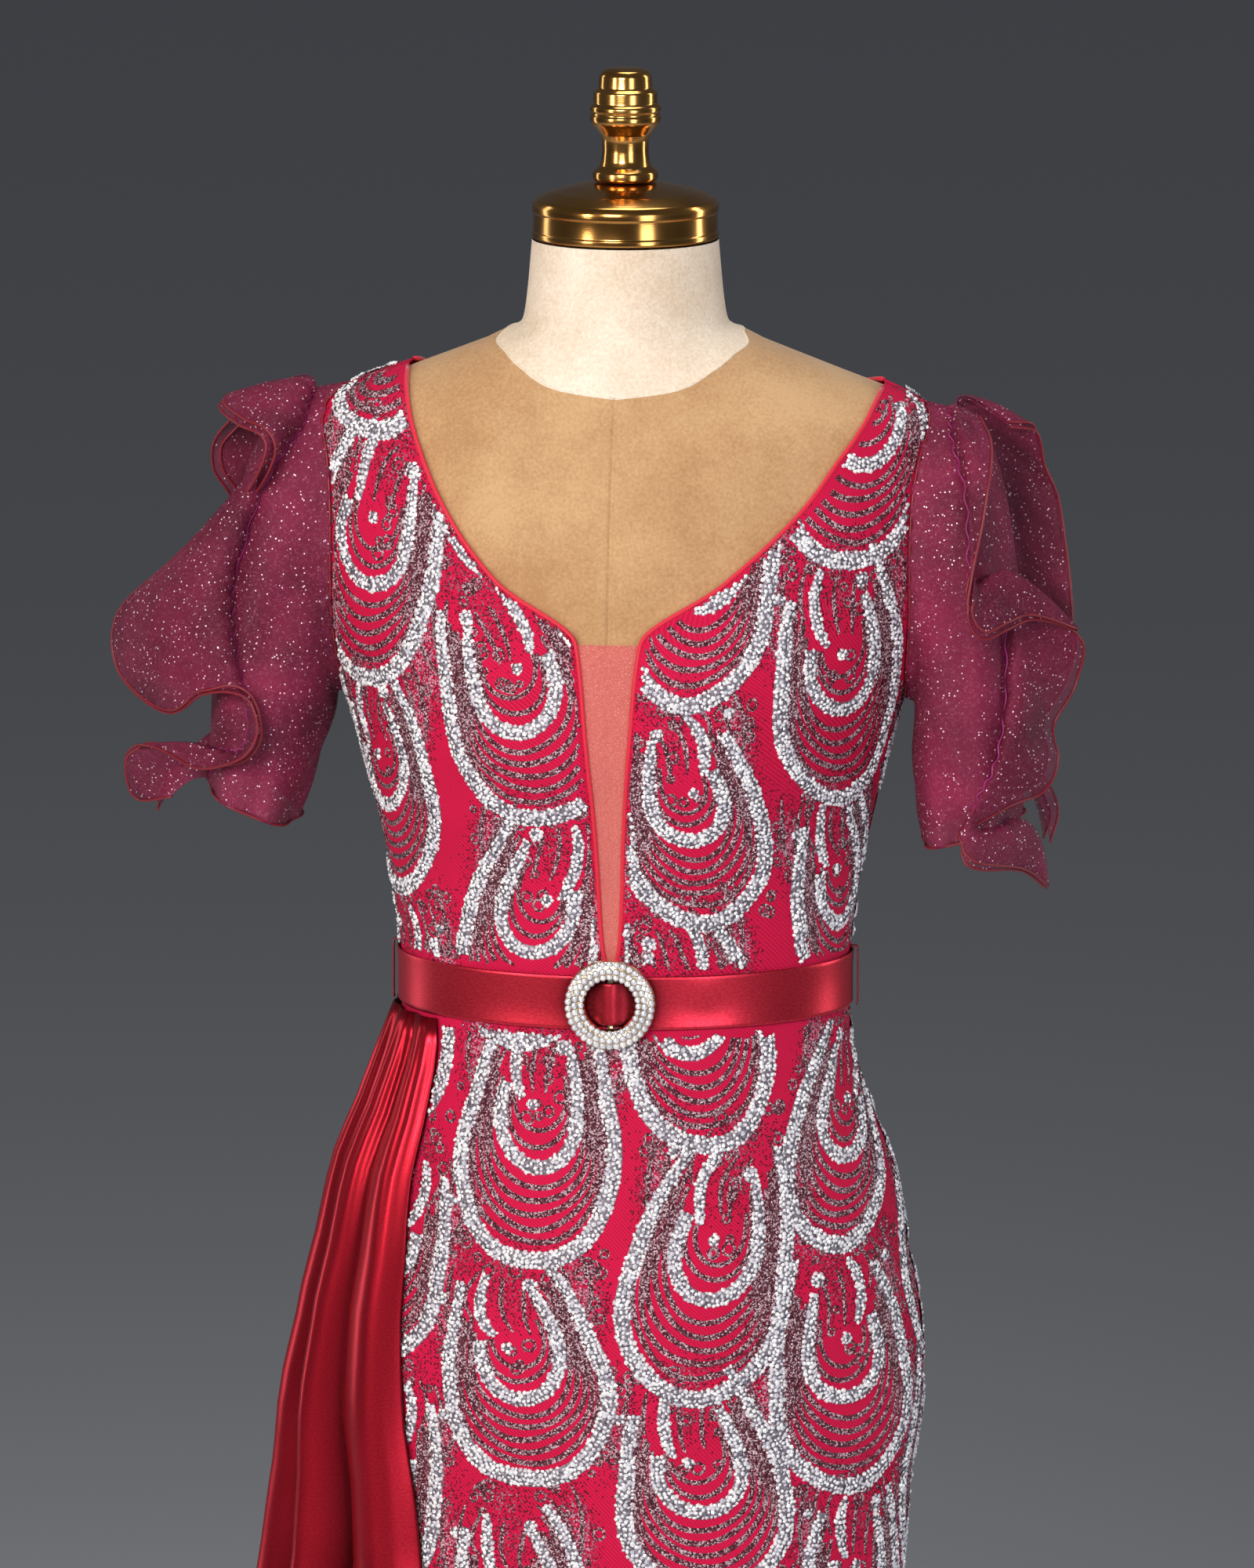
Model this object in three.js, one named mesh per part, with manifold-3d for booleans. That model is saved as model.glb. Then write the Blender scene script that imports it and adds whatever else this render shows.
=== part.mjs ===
// Evening gown on a limbless dress form: sequinned bodice and skirt, sheer inset,
// pleated satin side drape, organza sleeves with flounces, satin belt with a round
// stone-set buckle. Millimetres, +Z up, the front faces -Y, origin under the stand.
import * as THREE from "three";
import { mergeVertices } from "three/addons/utils/BufferGeometryUtils.js";
import Module from "manifold-3d";

const wasm = await Module();
wasm.setup();

// Driving dimensions
const seamGap = 0.3;
const clothWall = 1.6;
const organzaWall = 1.2;
const formClearance = 2;
const waistHeight = 1062;
const beltHeight = 32;
const beltWall = 1.8;
const hemHeight = 13;
const formBottom = 742;
const neckTop = 1503;
const armholeHalfDepth = 39;
const necklineDrop = 1278;
const insetHalfTop = 18.8;
const insetHalfBottom = 2.6;
const buckleHole = 15;
const buckleRadius = 27;
const buckleDepth = 6;
const poleRadius = 16;
const baseRadius = 190;
const baseThickness = 10;

// Body line under the gown, from the hem to the top of the neck. Each row is a
// level section: its half width and how far it reaches to the front and the back.
const bodyRows = [
  { z: 12, half: 262, front: 250, back: 262 },
  { z: 120, half: 238, front: 224, back: 236 },
  { z: 260, half: 199, front: 182, back: 196 },
  { z: 400, half: 163, front: 142, back: 158 },
  { z: 500, half: 150, front: 122, back: 138 },
  { z: 600, half: 153, front: 114, back: 129 },
  { z: 700, half: 163, front: 112, back: 124 },
  { z: 760, half: 168, front: 113, back: 126 },
  { z: 812, half: 175, front: 114, back: 128 },
  { z: 858, half: 173, front: 115, back: 127 },
  { z: 896, half: 166, front: 115, back: 124 },
  { z: 942, half: 158, front: 112, back: 116 },
  { z: 989, half: 141, front: 105, back: 104 },
  { z: 1031, half: 130.5, front: 98, back: 94 },
  { z: 1062, half: 130, front: 95, back: 91 },
  { z: 1083, half: 131, front: 95, back: 91 },
  { z: 1123, half: 136, front: 98, back: 94 },
  { z: 1175, half: 147, front: 108, back: 98 },
  { z: 1215, half: 157, front: 117, back: 101 },
  { z: 1250, half: 168, front: 118, back: 103 },
  { z: 1290, half: 178, front: 113, back: 104 },
  { z: 1330, half: 182, front: 104, back: 104 },
  { z: 1365, half: 183, front: 93, back: 101 },
  { z: 1390, half: 183, front: 82, back: 95 },
  { z: 1402, half: 178, front: 76, back: 90 },
  { z: 1412, half: 162, front: 71, back: 86 },
  { z: 1424, half: 131, front: 66, back: 81 },
  { z: 1436, half: 99, front: 62.5, back: 76 },
  { z: 1446, half: 74, front: 60, back: 70 },
  { z: 1454, half: 61, front: 59, back: 62 },
  { z: 1466, half: 58.5, front: 58, back: 58.5 },
  { z: 1503, half: 55, front: 55, back: 55 },
];
const bust = { out: 7, x: 72, z: 1213, wide: 44, high: 46 };

// Edge of the plunging neck, from the inset's top corner up to the shoulder seam.
const neckRight = [
  { z: necklineDrop, x: -insetHalfTop },
  { z: 1312, x: -66 },
  { z: 1344, x: -93 },
  { z: 1372, x: -109 },
  { z: 1405, x: -122 },
];
const neckLeft = [
  { z: necklineDrop, x: insetHalfTop },
  { z: 1312, x: 66 },
  { z: 1354, x: 111 },
  { z: 1380, x: 130 },
  { z: 1398, x: 143 },
];
const shoulder = {
  right: { neckZ: 1425.5, armZ: 1409 },
  left: { neckZ: 1416, armZ: 1402 },
};

// Smooth value of one column of a table at a height.
function column(rows, key, z) {
  const last = rows.length - 1;
  if (z <= rows[0].z) return rows[0][key];
  if (z >= rows[last].z) return rows[last][key];
  let i = 0;
  while (rows[i + 1].z < z) i += 1;
  const slope = (k) => (rows[k + 1][key] - rows[k][key]) / (rows[k + 1].z - rows[k].z);
  const tangent = (k) => {
    if (k === 0) return slope(0);
    if (k === last) return slope(last - 1);
    const before = slope(k - 1);
    const after = slope(k);
    return before * after <= 0 ? 0 : (2 * before * after) / (before + after);
  };
  const step = rows[i + 1].z - rows[i].z;
  const t = (z - rows[i].z) / step;
  const a = rows[i][key];
  const b = rows[i + 1][key];
  const ta = tangent(i) * step;
  const tb = tangent(i + 1) * step;
  return a + t * ta + t * t * (3 * (b - a) - 2 * ta - tb) + t * t * t * (2 * (a - b) + ta + tb);
}

// Point of the body line. The angle runs from 0 at the front to the wearer's left.
function bodyPoint(angle, z) {
  const half = column(bodyRows, "half", z);
  const depth = column(bodyRows, Math.cos(angle) >= 0 ? "front" : "back", z);
  const x = half * Math.sin(angle);
  let y = -depth * Math.cos(angle);
  if (Math.cos(angle) > 0) {
    const across = (Math.abs(x) - bust.x) / bust.wide;
    const up = (z - bust.z) / bust.high;
    y -= bust.out * Math.cos(angle) * Math.exp(-across * across - up * up);
  }
  return new THREE.Vector3(x, y, z);
}

// Point at a distance outside the body line, square to it.
function outside(angle, z, distance) {
  const turn = 0.004;
  const rise = 0.8;
  const around = bodyPoint(angle + turn, z).sub(bodyPoint(angle - turn, z));
  const upward = bodyPoint(angle, z + rise).sub(bodyPoint(angle, z - rise));
  const normal = around.cross(upward).normalize();
  return bodyPoint(angle, z).addScaledVector(normal, distance);
}

// Angle at which the body line at a height has a given x, front half.
function angleAtX(x, z) {
  const ratio = THREE.MathUtils.clamp(x / column(bodyRows, "half", z), -1, 1);
  return Math.asin(ratio);
}

function closedMesh(name, points, faces, look) {
  const geometry = new THREE.BufferGeometry();
  const flat = points.flatMap((p) => [p.x, p.y, p.z]);
  geometry.setAttribute("position", new THREE.Float32BufferAttribute(flat, 3));
  geometry.setIndex(faces.flat());
  return named(name, geometry, look);
}

function named(name, geometry, look) {
  const mesh = new THREE.Mesh(geometry, new THREE.MeshStandardMaterial(look));
  mesh.name = name;
  return mesh;
}

// Closed wall between an outer and an inner grid of points. The grids are read by
// a function of column, row and side; a ring joins its last column to its first.
function wall(name, columns, rows, ring, pointAt, look) {
  const points = [];
  const faces = [];
  const across = ring ? columns : columns + 1;
  const index = (i, j, side) => (side * (rows + 1) + j) * across + (i % across);
  for (const side of [0, 1]) {
    for (let j = 0; j <= rows; j += 1) {
      for (let i = 0; i < across; i += 1) points.push(pointAt(i / columns, j / rows, side));
    }
  }
  const quad = (a, b, c, d) => faces.push([a, b, c], [a, c, d]);
  for (let j = 0; j < rows; j += 1) {
    for (let i = 0; i < columns; i += 1) {
      quad(index(i, j, 1), index(i + 1, j, 1), index(i + 1, j + 1, 1), index(i, j + 1, 1));
      quad(index(i, j, 0), index(i, j + 1, 0), index(i + 1, j + 1, 0), index(i + 1, j, 0));
    }
  }
  for (let i = 0; i < columns; i += 1) {
    quad(index(i, 0, 0), index(i + 1, 0, 0), index(i + 1, 0, 1), index(i, 0, 1));
    quad(index(i, rows, 1), index(i + 1, rows, 1), index(i + 1, rows, 0), index(i, rows, 0));
  }
  if (!ring) {
    for (let j = 0; j < rows; j += 1) {
      quad(index(0, j, 1), index(0, j + 1, 1), index(0, j + 1, 0), index(0, j, 0));
      quad(index(columns, j, 0), index(columns, j + 1, 0), index(columns, j + 1, 1),
        index(columns, j, 1));
    }
  }
  return closedMesh(name, points, faces, look);
}

// Looks
const knitLook = { color: 0xc41a3a, roughness: 0.6, metalness: 0 };
const tulleLook = { color: 0xde786e, roughness: 0.8, metalness: 0 };
const satinLook = { color: 0x98202a, roughness: 0.35, metalness: 0 };
const organzaLook = { color: 0x86203c, roughness: 0.5, metalness: 0 };
const velvetLook = { color: 0xcaa678, roughness: 0.95, metalness: 0 };
const brassLook = { color: 0xbe823c, roughness: 0.18, metalness: 1 };
const stoneLook = { color: 0xe4e6ee, roughness: 0.1, metalness: 0.2 };
const steelLook = { color: 0x40403f, roughness: 0.4, metalness: 0.8 };

const gownInner = formClearance;
const gownOuter = formClearance + clothWall;
const gownSide = (side) => (side === 1 ? gownOuter : gownInner);
const quarter = Math.PI / 2;

// Bodice: a panel between an inner edge and an outer edge. Both edges are read at
// rows from the waist to the shoulder seam, as an angle round the body and a height.
const seamTurn = 0.0022;
const underarm = 1235;
const insetRows = [
  { z: 1062, x: 0.15 },
  { z: 1080, x: 0.15 },
  { z: 1084, x: insetHalfBottom },
  { z: 1099, x: 5.3 },
  { z: 1166, x: 8.5 },
  { z: 1221, x: 13 },
];
const backRows = [
  { z: 1062, x: 0.15 },
  { z: 1330, x: 0.15 },
  { z: 1340, x: 42 },
  { z: 1366, x: 80 },
  { z: 1398, x: 106 },
];
const sideRowCount = 8;
const neckRowCount = 12;

function armholeEdge(side, part, grow, front) {
  const top = shoulder[side].armZ;
  const halfZ = (top - underarm) / 2 + grow;
  const z = (top + underarm) / 2 - halfZ * Math.cos(Math.PI * part);
  const y = (front ? -1 : 1) * (armholeHalfDepth + grow) * Math.sin(Math.PI * part);
  const depth = column(bodyRows, front ? "front" : "back", z);
  return { angle: Math.acos(THREE.MathUtils.clamp(-y / depth, -1, 1)), z };
}

function innerEdge(rows, side, z, front) {
  const neckZ = shoulder[side].neckZ;
  const table = [...rows, { z: neckZ, x: column(bodyRows, "half", neckZ) }];
  const angle = Math.min(angleAtX(column(table, "x", z), z), quarter);
  return front ? angle : Math.PI - angle;
}

// Height of the inner edge at each row, the same on both fronts up to the V's point.
const bodiceBottom = waistHeight + seamGap / 2;
const insetRowCount = 3;

function innerHeight(row, side) {
  if (row <= sideRowCount) return bodiceBottom + ((underarm - bodiceBottom) * row) / sideRowCount;
  const step = row - sideRowCount;
  if (step <= insetRowCount) return underarm + ((necklineDrop - underarm) * step) / insetRowCount;
  const part = (step - insetRowCount) / (neckRowCount - insetRowCount);
  return necklineDrop + (shoulder[side].neckZ - necklineDrop) * (1 - (1 - part) ** 2);
}

function bodicePanel(name, side, front, columns) {
  const sign = side === "left" ? 1 : -1;
  const neck = (side === "left" ? neckLeft : neckRight).map((row) => ({ z: row.z, x: row.x * sign }));
  const edgeRows = front ? [...insetRows, ...neck] : backRows;
  const rows = sideRowCount + neckRowCount;
  const seam = front ? quarter - seamTurn : quarter + seamTurn;
  const pointAt = (s, t, wallSide) => {
    const row = Math.round(t * rows);
    const innerZ = innerHeight(row, side);
    const part = (row - sideRowCount) / neckRowCount;
    const outer = part > 0 ? armholeEdge(side, part, 0, front) : { angle: seam, z: innerZ };
    const limit = (angle) => (front ? Math.min(angle, seam) : Math.max(angle, seam));
    const innerAngle = limit(innerEdge(edgeRows, side, innerZ, front));
    const outerAngle = limit(outer.angle);
    const angle = innerAngle + (outerAngle - innerAngle) * s;
    const z = innerZ + (outer.z - innerZ) * s;
    return outside(sign * angle, z, gownSide(wallSide));
  };
  const facing = (sign === 1) === front;
  const turned = (s, t, wallSide) => pointAt(facing ? s : 1 - s, t, wallSide);
  return wall(name, columns, rows, false, turned, knitLook);
}

const insetSteps = sideRowCount + insetRowCount - 1;
const inset = wall("front_inset", 2, insetSteps, false, (s, t, side) => {
  const z = innerHeight(1 + Math.round(t * insetSteps), "left");
  const half = column([...insetRows, ...neckLeft], "x", z) - seamGap;
  return outside(angleAtX(half * (2 * s - 1), z), z, gownSide(side));
}, tulleLook);

// Skirt: front and back panels that meet at the side seams.
const skirtTop = waistHeight - seamGap / 2;

function skirtPanel(name, from, to, columns, rows) {
  return wall(name, columns, rows, false, (s, t, side) => {
    const angle = from + (to - from) * s;
    const z = skirtTop - (skirtTop - hemHeight) * (1 - t) ** 1.5;
    return outside(angle, z, gownSide(side));
  }, knitLook);
}

// Side drape: one row for each pleat crest or valley, from its front edge round the
// wearer's right side to the back. The turn is counted from the front in degrees at
// the waist, the thigh and the hem; lift is how far the cloth as a whole stands off
// the skirt at the thigh and the hem, and a crest stands out from it by the fold depth.
const drapeTop = 1043.8;
const drapeHem = 15;
const drapeThigh = 709;
const drapeClearance = 0.8;
const drapeRows = [
  { crest: 0, waistTurn: 53, thighTurn: 45, hemTurn: 36, thighLift: 8, hemLift: 22 },
  { crest: 1, waistTurn: 57, thighTurn: 52, hemTurn: 46, thighLift: 9, hemLift: 28 },
  { crest: 0, waistTurn: 64, thighTurn: 64, hemTurn: 57, thighLift: 13, hemLift: 32 },
  { crest: 1, waistTurn: 70, thighTurn: 72, hemTurn: 68, thighLift: 22, hemLift: 42 },
  { crest: 0, waistTurn: 77, thighTurn: 81, hemTurn: 79, thighLift: 31, hemLift: 46 },
  { crest: 1, waistTurn: 84, thighTurn: 90, hemTurn: 90, thighLift: 38, hemLift: 48 },
  { crest: 0, waistTurn: 91, thighTurn: 101, hemTurn: 101, thighLift: 38, hemLift: 46 },
  { crest: 1, waistTurn: 99, thighTurn: 111, hemTurn: 112, thighLift: 36, hemLift: 44 },
  { crest: 0, waistTurn: 107, thighTurn: 121, hemTurn: 123, thighLift: 30, hemLift: 40 },
  { crest: 1, waistTurn: 116, thighTurn: 131, hemTurn: 134, thighLift: 26, hemLift: 36 },
  { crest: 0, waistTurn: 125, thighTurn: 141, hemTurn: 145, thighLift: 20, hemLift: 30 },
  { crest: 1, waistTurn: 134, thighTurn: 151, hemTurn: 156, thighLift: 14, hemLift: 24 },
  { crest: 0, waistTurn: 143, thighTurn: 161, hemTurn: 166, thighLift: 8, hemLift: 16 },
  { crest: 1, waistTurn: 152, thighTurn: 170, hemTurn: 176, thighLift: 4, hemLift: 8 },
];
const hemFoldDepth = 26;
const drapeLowRows = 4;
// How much of the thigh's lift shows at a height, how deep the folds are there, and
// how far the pleats have turned from their waist angle to their thigh angle.
const drapeFall = [
  { z: 709, lift: 1, fold: 14, turned: 1 },
  { z: 772, lift: 0.66, fold: 13, turned: 0.86 },
  { z: 819, lift: 0.36, fold: 12, turned: 0.74 },
  { z: 865, lift: 0.18, fold: 11, turned: 0.61 },
  { z: 953, lift: 0.13, fold: 8, turned: 0.34 },
  { z: 1018, lift: 0.12, fold: 5.4, turned: 0.11 },
  { z: drapeTop, lift: 0, fold: 2.9, turned: 0 },
];

function drapeValue(key, place) {
  const i = Math.min(Math.floor(place), drapeRows.length - 2);
  const t = place - i;
  const mix = key === "crest" ? t * t * (3 - 2 * t) : t;
  return drapeRows[i][key] + (drapeRows[i + 1][key] - drapeRows[i][key]) * mix;
}

function drapeAt(turn, z, lift, fold) {
  const clear = gownOuter + drapeClearance + clothWall / 2;
  return outside(-THREE.MathUtils.degToRad(turn), z, clear + lift + fold);
}

function drapePoint(place, z) {
  const crest = drapeValue("crest", place);
  const waistTurn = drapeValue("waistTurn", place);
  const thighTurn = drapeValue("thighTurn", place);
  const high = Math.max(z, drapeThigh);
  const turn = waistTurn + (thighTurn - waistTurn) * column(drapeFall, "turned", high);
  const lift = drapeValue("thighLift", place) * column(drapeFall, "lift", high);
  const upper = drapeAt(turn, high, lift, crest * column(drapeFall, "fold", high));
  if (z >= drapeThigh) return upper;
  const hemLift = drapeValue("hemLift", place);
  const hem = drapeAt(drapeValue("hemTurn", place), drapeHem, hemLift, crest * hemFoldDepth);
  return upper.lerp(hem, (drapeThigh - z) / (drapeThigh - drapeHem));
}

function drapeWall(columns, rows) {
  const last = drapeRows.length - 1;
  return wall("side_drape", columns, rows, false, (s, t, side) => {
    const place = last * (1 - s);
    const level = Math.round(t * rows) - drapeLowRows;
    const z = level < 0 ? drapeThigh + ((drapeThigh - drapeHem) * level) / drapeLowRows
      : drapeThigh + ((drapeTop - drapeThigh) * level) / (rows - drapeLowRows);
    const turn = 0.05;
    const a = drapePoint(Math.min(place + turn, last), z);
    const b = drapePoint(Math.max(place - turn, 0), z);
    const normal = b.clone().sub(a).cross(new THREE.Vector3(0, 0, 1)).normalize();
    const reach = (side === 1 ? 1 : -1) * (clothWall / 2);
    return drapePoint(place, z).addScaledVector(normal, reach);
  }, satinLook);
}

// Sleeve tube: level 0 is sewn round the armhole, the others are tilted ovals
// between a point on the outer line and one on the inner line, down to the hem.
const sleeveRows = {
  right: [
    { outX: 189, outZ: 1409, inX: 172, inZ: 1230, depth: 46 },
    { outX: 208, outZ: 1396, inX: 174, inZ: 1219, depth: 51 },
    { outX: 224, outZ: 1366, inX: 178, inZ: 1206, depth: 55 },
    { outX: 236, outZ: 1320, inX: 183, inZ: 1192, depth: 57 },
    { outX: 243, outZ: 1268, inX: 188, inZ: 1178, depth: 57 },
    { outX: 247, outZ: 1215, inX: 193, inZ: 1164, depth: 56 },
    { outX: 249, outZ: 1175, inX: 197, inZ: 1152, depth: 54 },
  ],
  left: [
    { outX: 196, outZ: 1402, inX: 172, inZ: 1229, depth: 46 },
    { outX: 212, outZ: 1388, inX: 172, inZ: 1216, depth: 51 },
    { outX: 224, outZ: 1355, inX: 171, inZ: 1202, depth: 54 },
    { outX: 231, outZ: 1308, inX: 171, inZ: 1188, depth: 56 },
    { outX: 234, outZ: 1256, inX: 173, inZ: 1174, depth: 56 },
    { outX: 235, outZ: 1204, inX: 175, inZ: 1160, depth: 55 },
    { outX: 235, outZ: 1160, inX: 178, inZ: 1145, depth: 53 },
  ],
};
const sleeveLevels = 7;
const sleeveRootGap = 0.8;
const sleeveGather = { out: 2.4, waves: 5 };
const signOf = (side) => (side === "left" ? 1 : -1);

function sleeveRing(side, level, turn, grow) {
  const sign = signOf(side);
  if (level === 0) {
    const top = shoulder[side].armZ;
    const reach = grow + organzaWall;
    const z = (top + underarm) / 2 + ((top - underarm) / 2 + reach) * Math.cos(turn);
    const y = -(armholeHalfDepth + reach) * Math.sin(turn);
    const depth = column(bodyRows, y < 0 ? "front" : "back", z);
    const angle = Math.acos(THREE.MathUtils.clamp(-y / depth, -1, 1));
    return outside(sign * angle, z, gownOuter + sleeveRootGap);
  }
  const row = sleeveRows[side][level - 1];
  const outer = new THREE.Vector3(sign * row.outX, 0, row.outZ);
  const inner = new THREE.Vector3(sign * row.inX, 0, row.inZ);
  const middle = outer.clone().add(inner).multiplyScalar(0.5);
  const half = outer.sub(inner).multiplyScalar(0.5);
  const fade = Math.min(level / 3, 1);
  const gather = grow + sleeveGather.out * fade * Math.cos(sleeveGather.waves * turn + 1);
  const length = half.length();
  half.multiplyScalar((length + gather) / length);
  const y = -(row.depth + gather) * Math.sin(turn);
  return middle.addScaledVector(half, Math.cos(turn)).add(new THREE.Vector3(0, y, 0));
}

function sleevePoint(side, level, turn, grow) {
  const low = Math.min(Math.floor(level), sleeveLevels - 1);
  const a = sleeveRing(side, low, turn, grow);
  return a.lerp(sleeveRing(side, low + 1, turn, grow), level - low);
}

function sleeveTube(side) {
  return wall(`sleeve_${side}`, 24, sleeveLevels, true, (s, t, wallSide) => {
    const turn = -signOf(side) * 2 * Math.PI * s;
    const level = sleeveLevels * (1 - t);
    return sleeveRing(side, Math.round(level), turn, wallSide * organzaWall);
  }, organzaLook);
}

// Flounces: one row for each turn of the cloth. The root lies on the sleeve tube,
// at a level and a turn in degrees from its outer line to the front; x is counted
// outwards from the middle of the body to the free edge.
const flounceRows = {
  flounce_right_front: [
    { level: 0.8, turn: 8, x: 215, y: -8, z: 1411 },
    { level: 0.9, turn: 20, x: 240, y: -12, z: 1402 },
    { level: 1.0, turn: 30, x: 226, y: -44, z: 1396 },
    { level: 1.2, turn: 38, x: 208, y: -60, z: 1388 },
    { level: 1.6, turn: 42, x: 212, y: -58, z: 1368 },
    { level: 2.3, turn: 45, x: 238, y: -34, z: 1336 },
    { level: 3.2, turn: 48, x: 276, y: -12, z: 1299 },
    { level: 4.0, turn: 48, x: 305, y: -4, z: 1268 },
    { level: 4.3, turn: 55, x: 302, y: -10, z: 1240 },
    { level: 4.6, turn: 64, x: 270, y: -38, z: 1221 },
    { level: 4.8, turn: 74, x: 246, y: -60, z: 1236 },
    { level: 5.0, turn: 82, x: 218, y: -76, z: 1237 },
    { level: 5.4, turn: 86, x: 211, y: -80, z: 1220 },
    { level: 5.7, turn: 82, x: 222, y: -76, z: 1200 },
    { level: 5.9, turn: 72, x: 250, y: -56, z: 1191 },
    { level: 6.1, turn: 58, x: 280, y: -28, z: 1199 },
    { level: 6.3, turn: 40, x: 298, y: -4, z: 1190 },
    { level: 6.6, turn: 25, x: 296, y: 6, z: 1162 },
    { level: 6.9, turn: 20, x: 272, y: -10, z: 1166 },
  ],
  flounce_left_front: [
    { level: 0.8, turn: 8, x: 210, y: -8, z: 1400 },
    { level: 0.9, turn: 18, x: 219, y: -32, z: 1390 },
    { level: 1.0, turn: 30, x: 219, y: -58, z: 1368 },
    { level: 1.4, turn: 42, x: 214, y: -68, z: 1336 },
    { level: 2.0, turn: 52, x: 210, y: -74, z: 1313 },
    { level: 2.5, turn: 62, x: 208, y: -78, z: 1292 },
    { level: 2.9, turn: 68, x: 217, y: -74, z: 1278 },
    { level: 3.2, turn: 64, x: 231, y: -60, z: 1282 },
    { level: 3.4, turn: 56, x: 246, y: -42, z: 1285 },
    { level: 3.6, turn: 46, x: 268, y: -18, z: 1274 },
    { level: 3.9, turn: 38, x: 273, y: -8, z: 1260 },
    { level: 4.2, turn: 34, x: 268, y: -4, z: 1240 },
    { level: 4.6, turn: 34, x: 256, y: -12, z: 1218 },
    { level: 5.2, turn: 40, x: 258, y: -8, z: 1197 },
    { level: 5.7, turn: 50, x: 250, y: -20, z: 1178 },
    { level: 6.0, turn: 62, x: 230, y: -44, z: 1173 },
    { level: 6.2, turn: 74, x: 212, y: -62, z: 1164 },
    { level: 6.5, turn: 80, x: 205, y: -68, z: 1150 },
    { level: 6.8, turn: 74, x: 212, y: -66, z: 1140 },
    { level: 6.9, turn: 55, x: 238, y: -34, z: 1133 },
    { level: 6.9, turn: 30, x: 251, y: -6, z: 1118 },
  ],
  flounce_right_back: [
    { level: 0.9, turn: -10, x: 222, y: 12, z: 1404 },
    { level: 1.1, turn: -22, x: 246, y: 22, z: 1380 },
    { level: 1.5, turn: -32, x: 249, y: 28, z: 1358 },
    { level: 2.0, turn: -40, x: 240, y: 40, z: 1334 },
    { level: 2.8, turn: -46, x: 258, y: 52, z: 1302 },
    { level: 3.6, turn: -46, x: 285, y: 38, z: 1270 },
    { level: 4.3, turn: -44, x: 288, y: 26, z: 1242 },
    { level: 4.9, turn: -48, x: 268, y: 46, z: 1222 },
    { level: 5.3, turn: -58, x: 240, y: 68, z: 1212 },
    { level: 5.7, turn: -68, x: 226, y: 78, z: 1194 },
    { level: 6.0, turn: -62, x: 250, y: 68, z: 1182 },
    { level: 6.3, turn: -50, x: 280, y: 42, z: 1168 },
    { level: 6.6, turn: -38, x: 284, y: 28, z: 1150 },
  ],
  flounce_left_back: [
    { level: 0.9, turn: -10, x: 228, y: 12, z: 1392 },
    { level: 1.1, turn: -22, x: 243, y: 20, z: 1386 },
    { level: 1.5, turn: -32, x: 248, y: 32, z: 1364 },
    { level: 2.0, turn: -38, x: 256, y: 38, z: 1340 },
    { level: 2.6, turn: -42, x: 261, y: 36, z: 1308 },
    { level: 3.2, turn: -44, x: 264, y: 30, z: 1274 },
    { level: 3.8, turn: -46, x: 262, y: 38, z: 1246 },
    { level: 4.5, turn: -52, x: 240, y: 62, z: 1226 },
    { level: 5.2, turn: -58, x: 226, y: 76, z: 1202 },
    { level: 5.8, turn: -56, x: 240, y: 66, z: 1180 },
    { level: 6.3, turn: -46, x: 256, y: 38, z: 1160 },
    { level: 6.7, turn: -34, x: 252, y: 22, z: 1140 },
  ],
};
const flounceRootGap = 0.9;
const flounceBow = 0.42;

function flounce(name) {
  const side = name.includes("left") ? "left" : "right";
  const sign = signOf(side);
  const rows = flounceRows[name];
  const roots = new THREE.CatmullRomCurve3(rows.map((r) => new THREE.Vector3(r.level, r.turn / 60, 0)));
  const edges = new THREE.CatmullRomCurve3(rows.map((r) => new THREE.Vector3(sign * r.x, r.y, r.z)));
  const sheet = (s, t) => {
    const at = roots.getPoint(s);
    const turn = at.y * THREE.MathUtils.degToRad(60);
    const root = sleevePoint(side, at.x, turn, organzaWall + flounceRootGap);
    const near = sleevePoint(side, at.x, turn, organzaWall + flounceRootGap + 1);
    const edge = edges.getPoint(s);
    const outward = near.sub(root).normalize();
    const handle = root.clone().addScaledVector(outward, flounceBow * root.distanceTo(edge));
    return new THREE.QuadraticBezierCurve3(root, handle, edge).getPoint(t);
  };
  return wall(name, (rows.length - 1) * 2, 4, false, (s, t, wallSide) => {
    const step = 0.004;
    const along = sheet(Math.min(s + step, 1), t).sub(sheet(Math.max(s - step, 0), t));
    const out = sheet(s, Math.min(t + step, 1)).sub(sheet(s, Math.max(t - step, 0)));
    const normal = along.cross(out).normalize();
    return sheet(s, t).addScaledVector(normal, (wallSide - 0.5) * organzaWall);
  }, organzaLook);
}

// Belt: a closed ring that narrows and rises over the buckle's bar.
const beltInner = gownOuter + 0.5;
const beltOuter = beltInner + beltWall;
const beltBulge = { out: 3.5, wide: 6, narrow: 3.5, reach: 10 };
const beltCrowding = 0.75;
const farFromBuckle = 200;

const belt = wall("belt", 60, 2, true, (s, t, side) => {
  const turn = 2 * Math.PI * s;
  const angle = turn - beltCrowding * Math.sin(turn);
  const x = Math.cos(angle) > 0 ? column(bodyRows, "half", waistHeight) * Math.sin(angle)
    : farFromBuckle;
  const half = beltHeight / 2 - beltBulge.narrow * Math.exp(-((x / beltBulge.reach) ** 2));
  const out = beltBulge.out * Math.exp(-((x / beltBulge.wide) ** 2));
  const base = outside(angle, waistHeight, (side === 1 ? beltOuter : beltInner) + out);
  const follow = outside(angle, waistHeight + half * (2 * t - 1), beltInner).sub(
    outside(angle, waistHeight, beltInner));
  return base.add(new THREE.Vector3(follow.x, follow.y, half * (2 * t - 1)));
}, satinLook);

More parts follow.
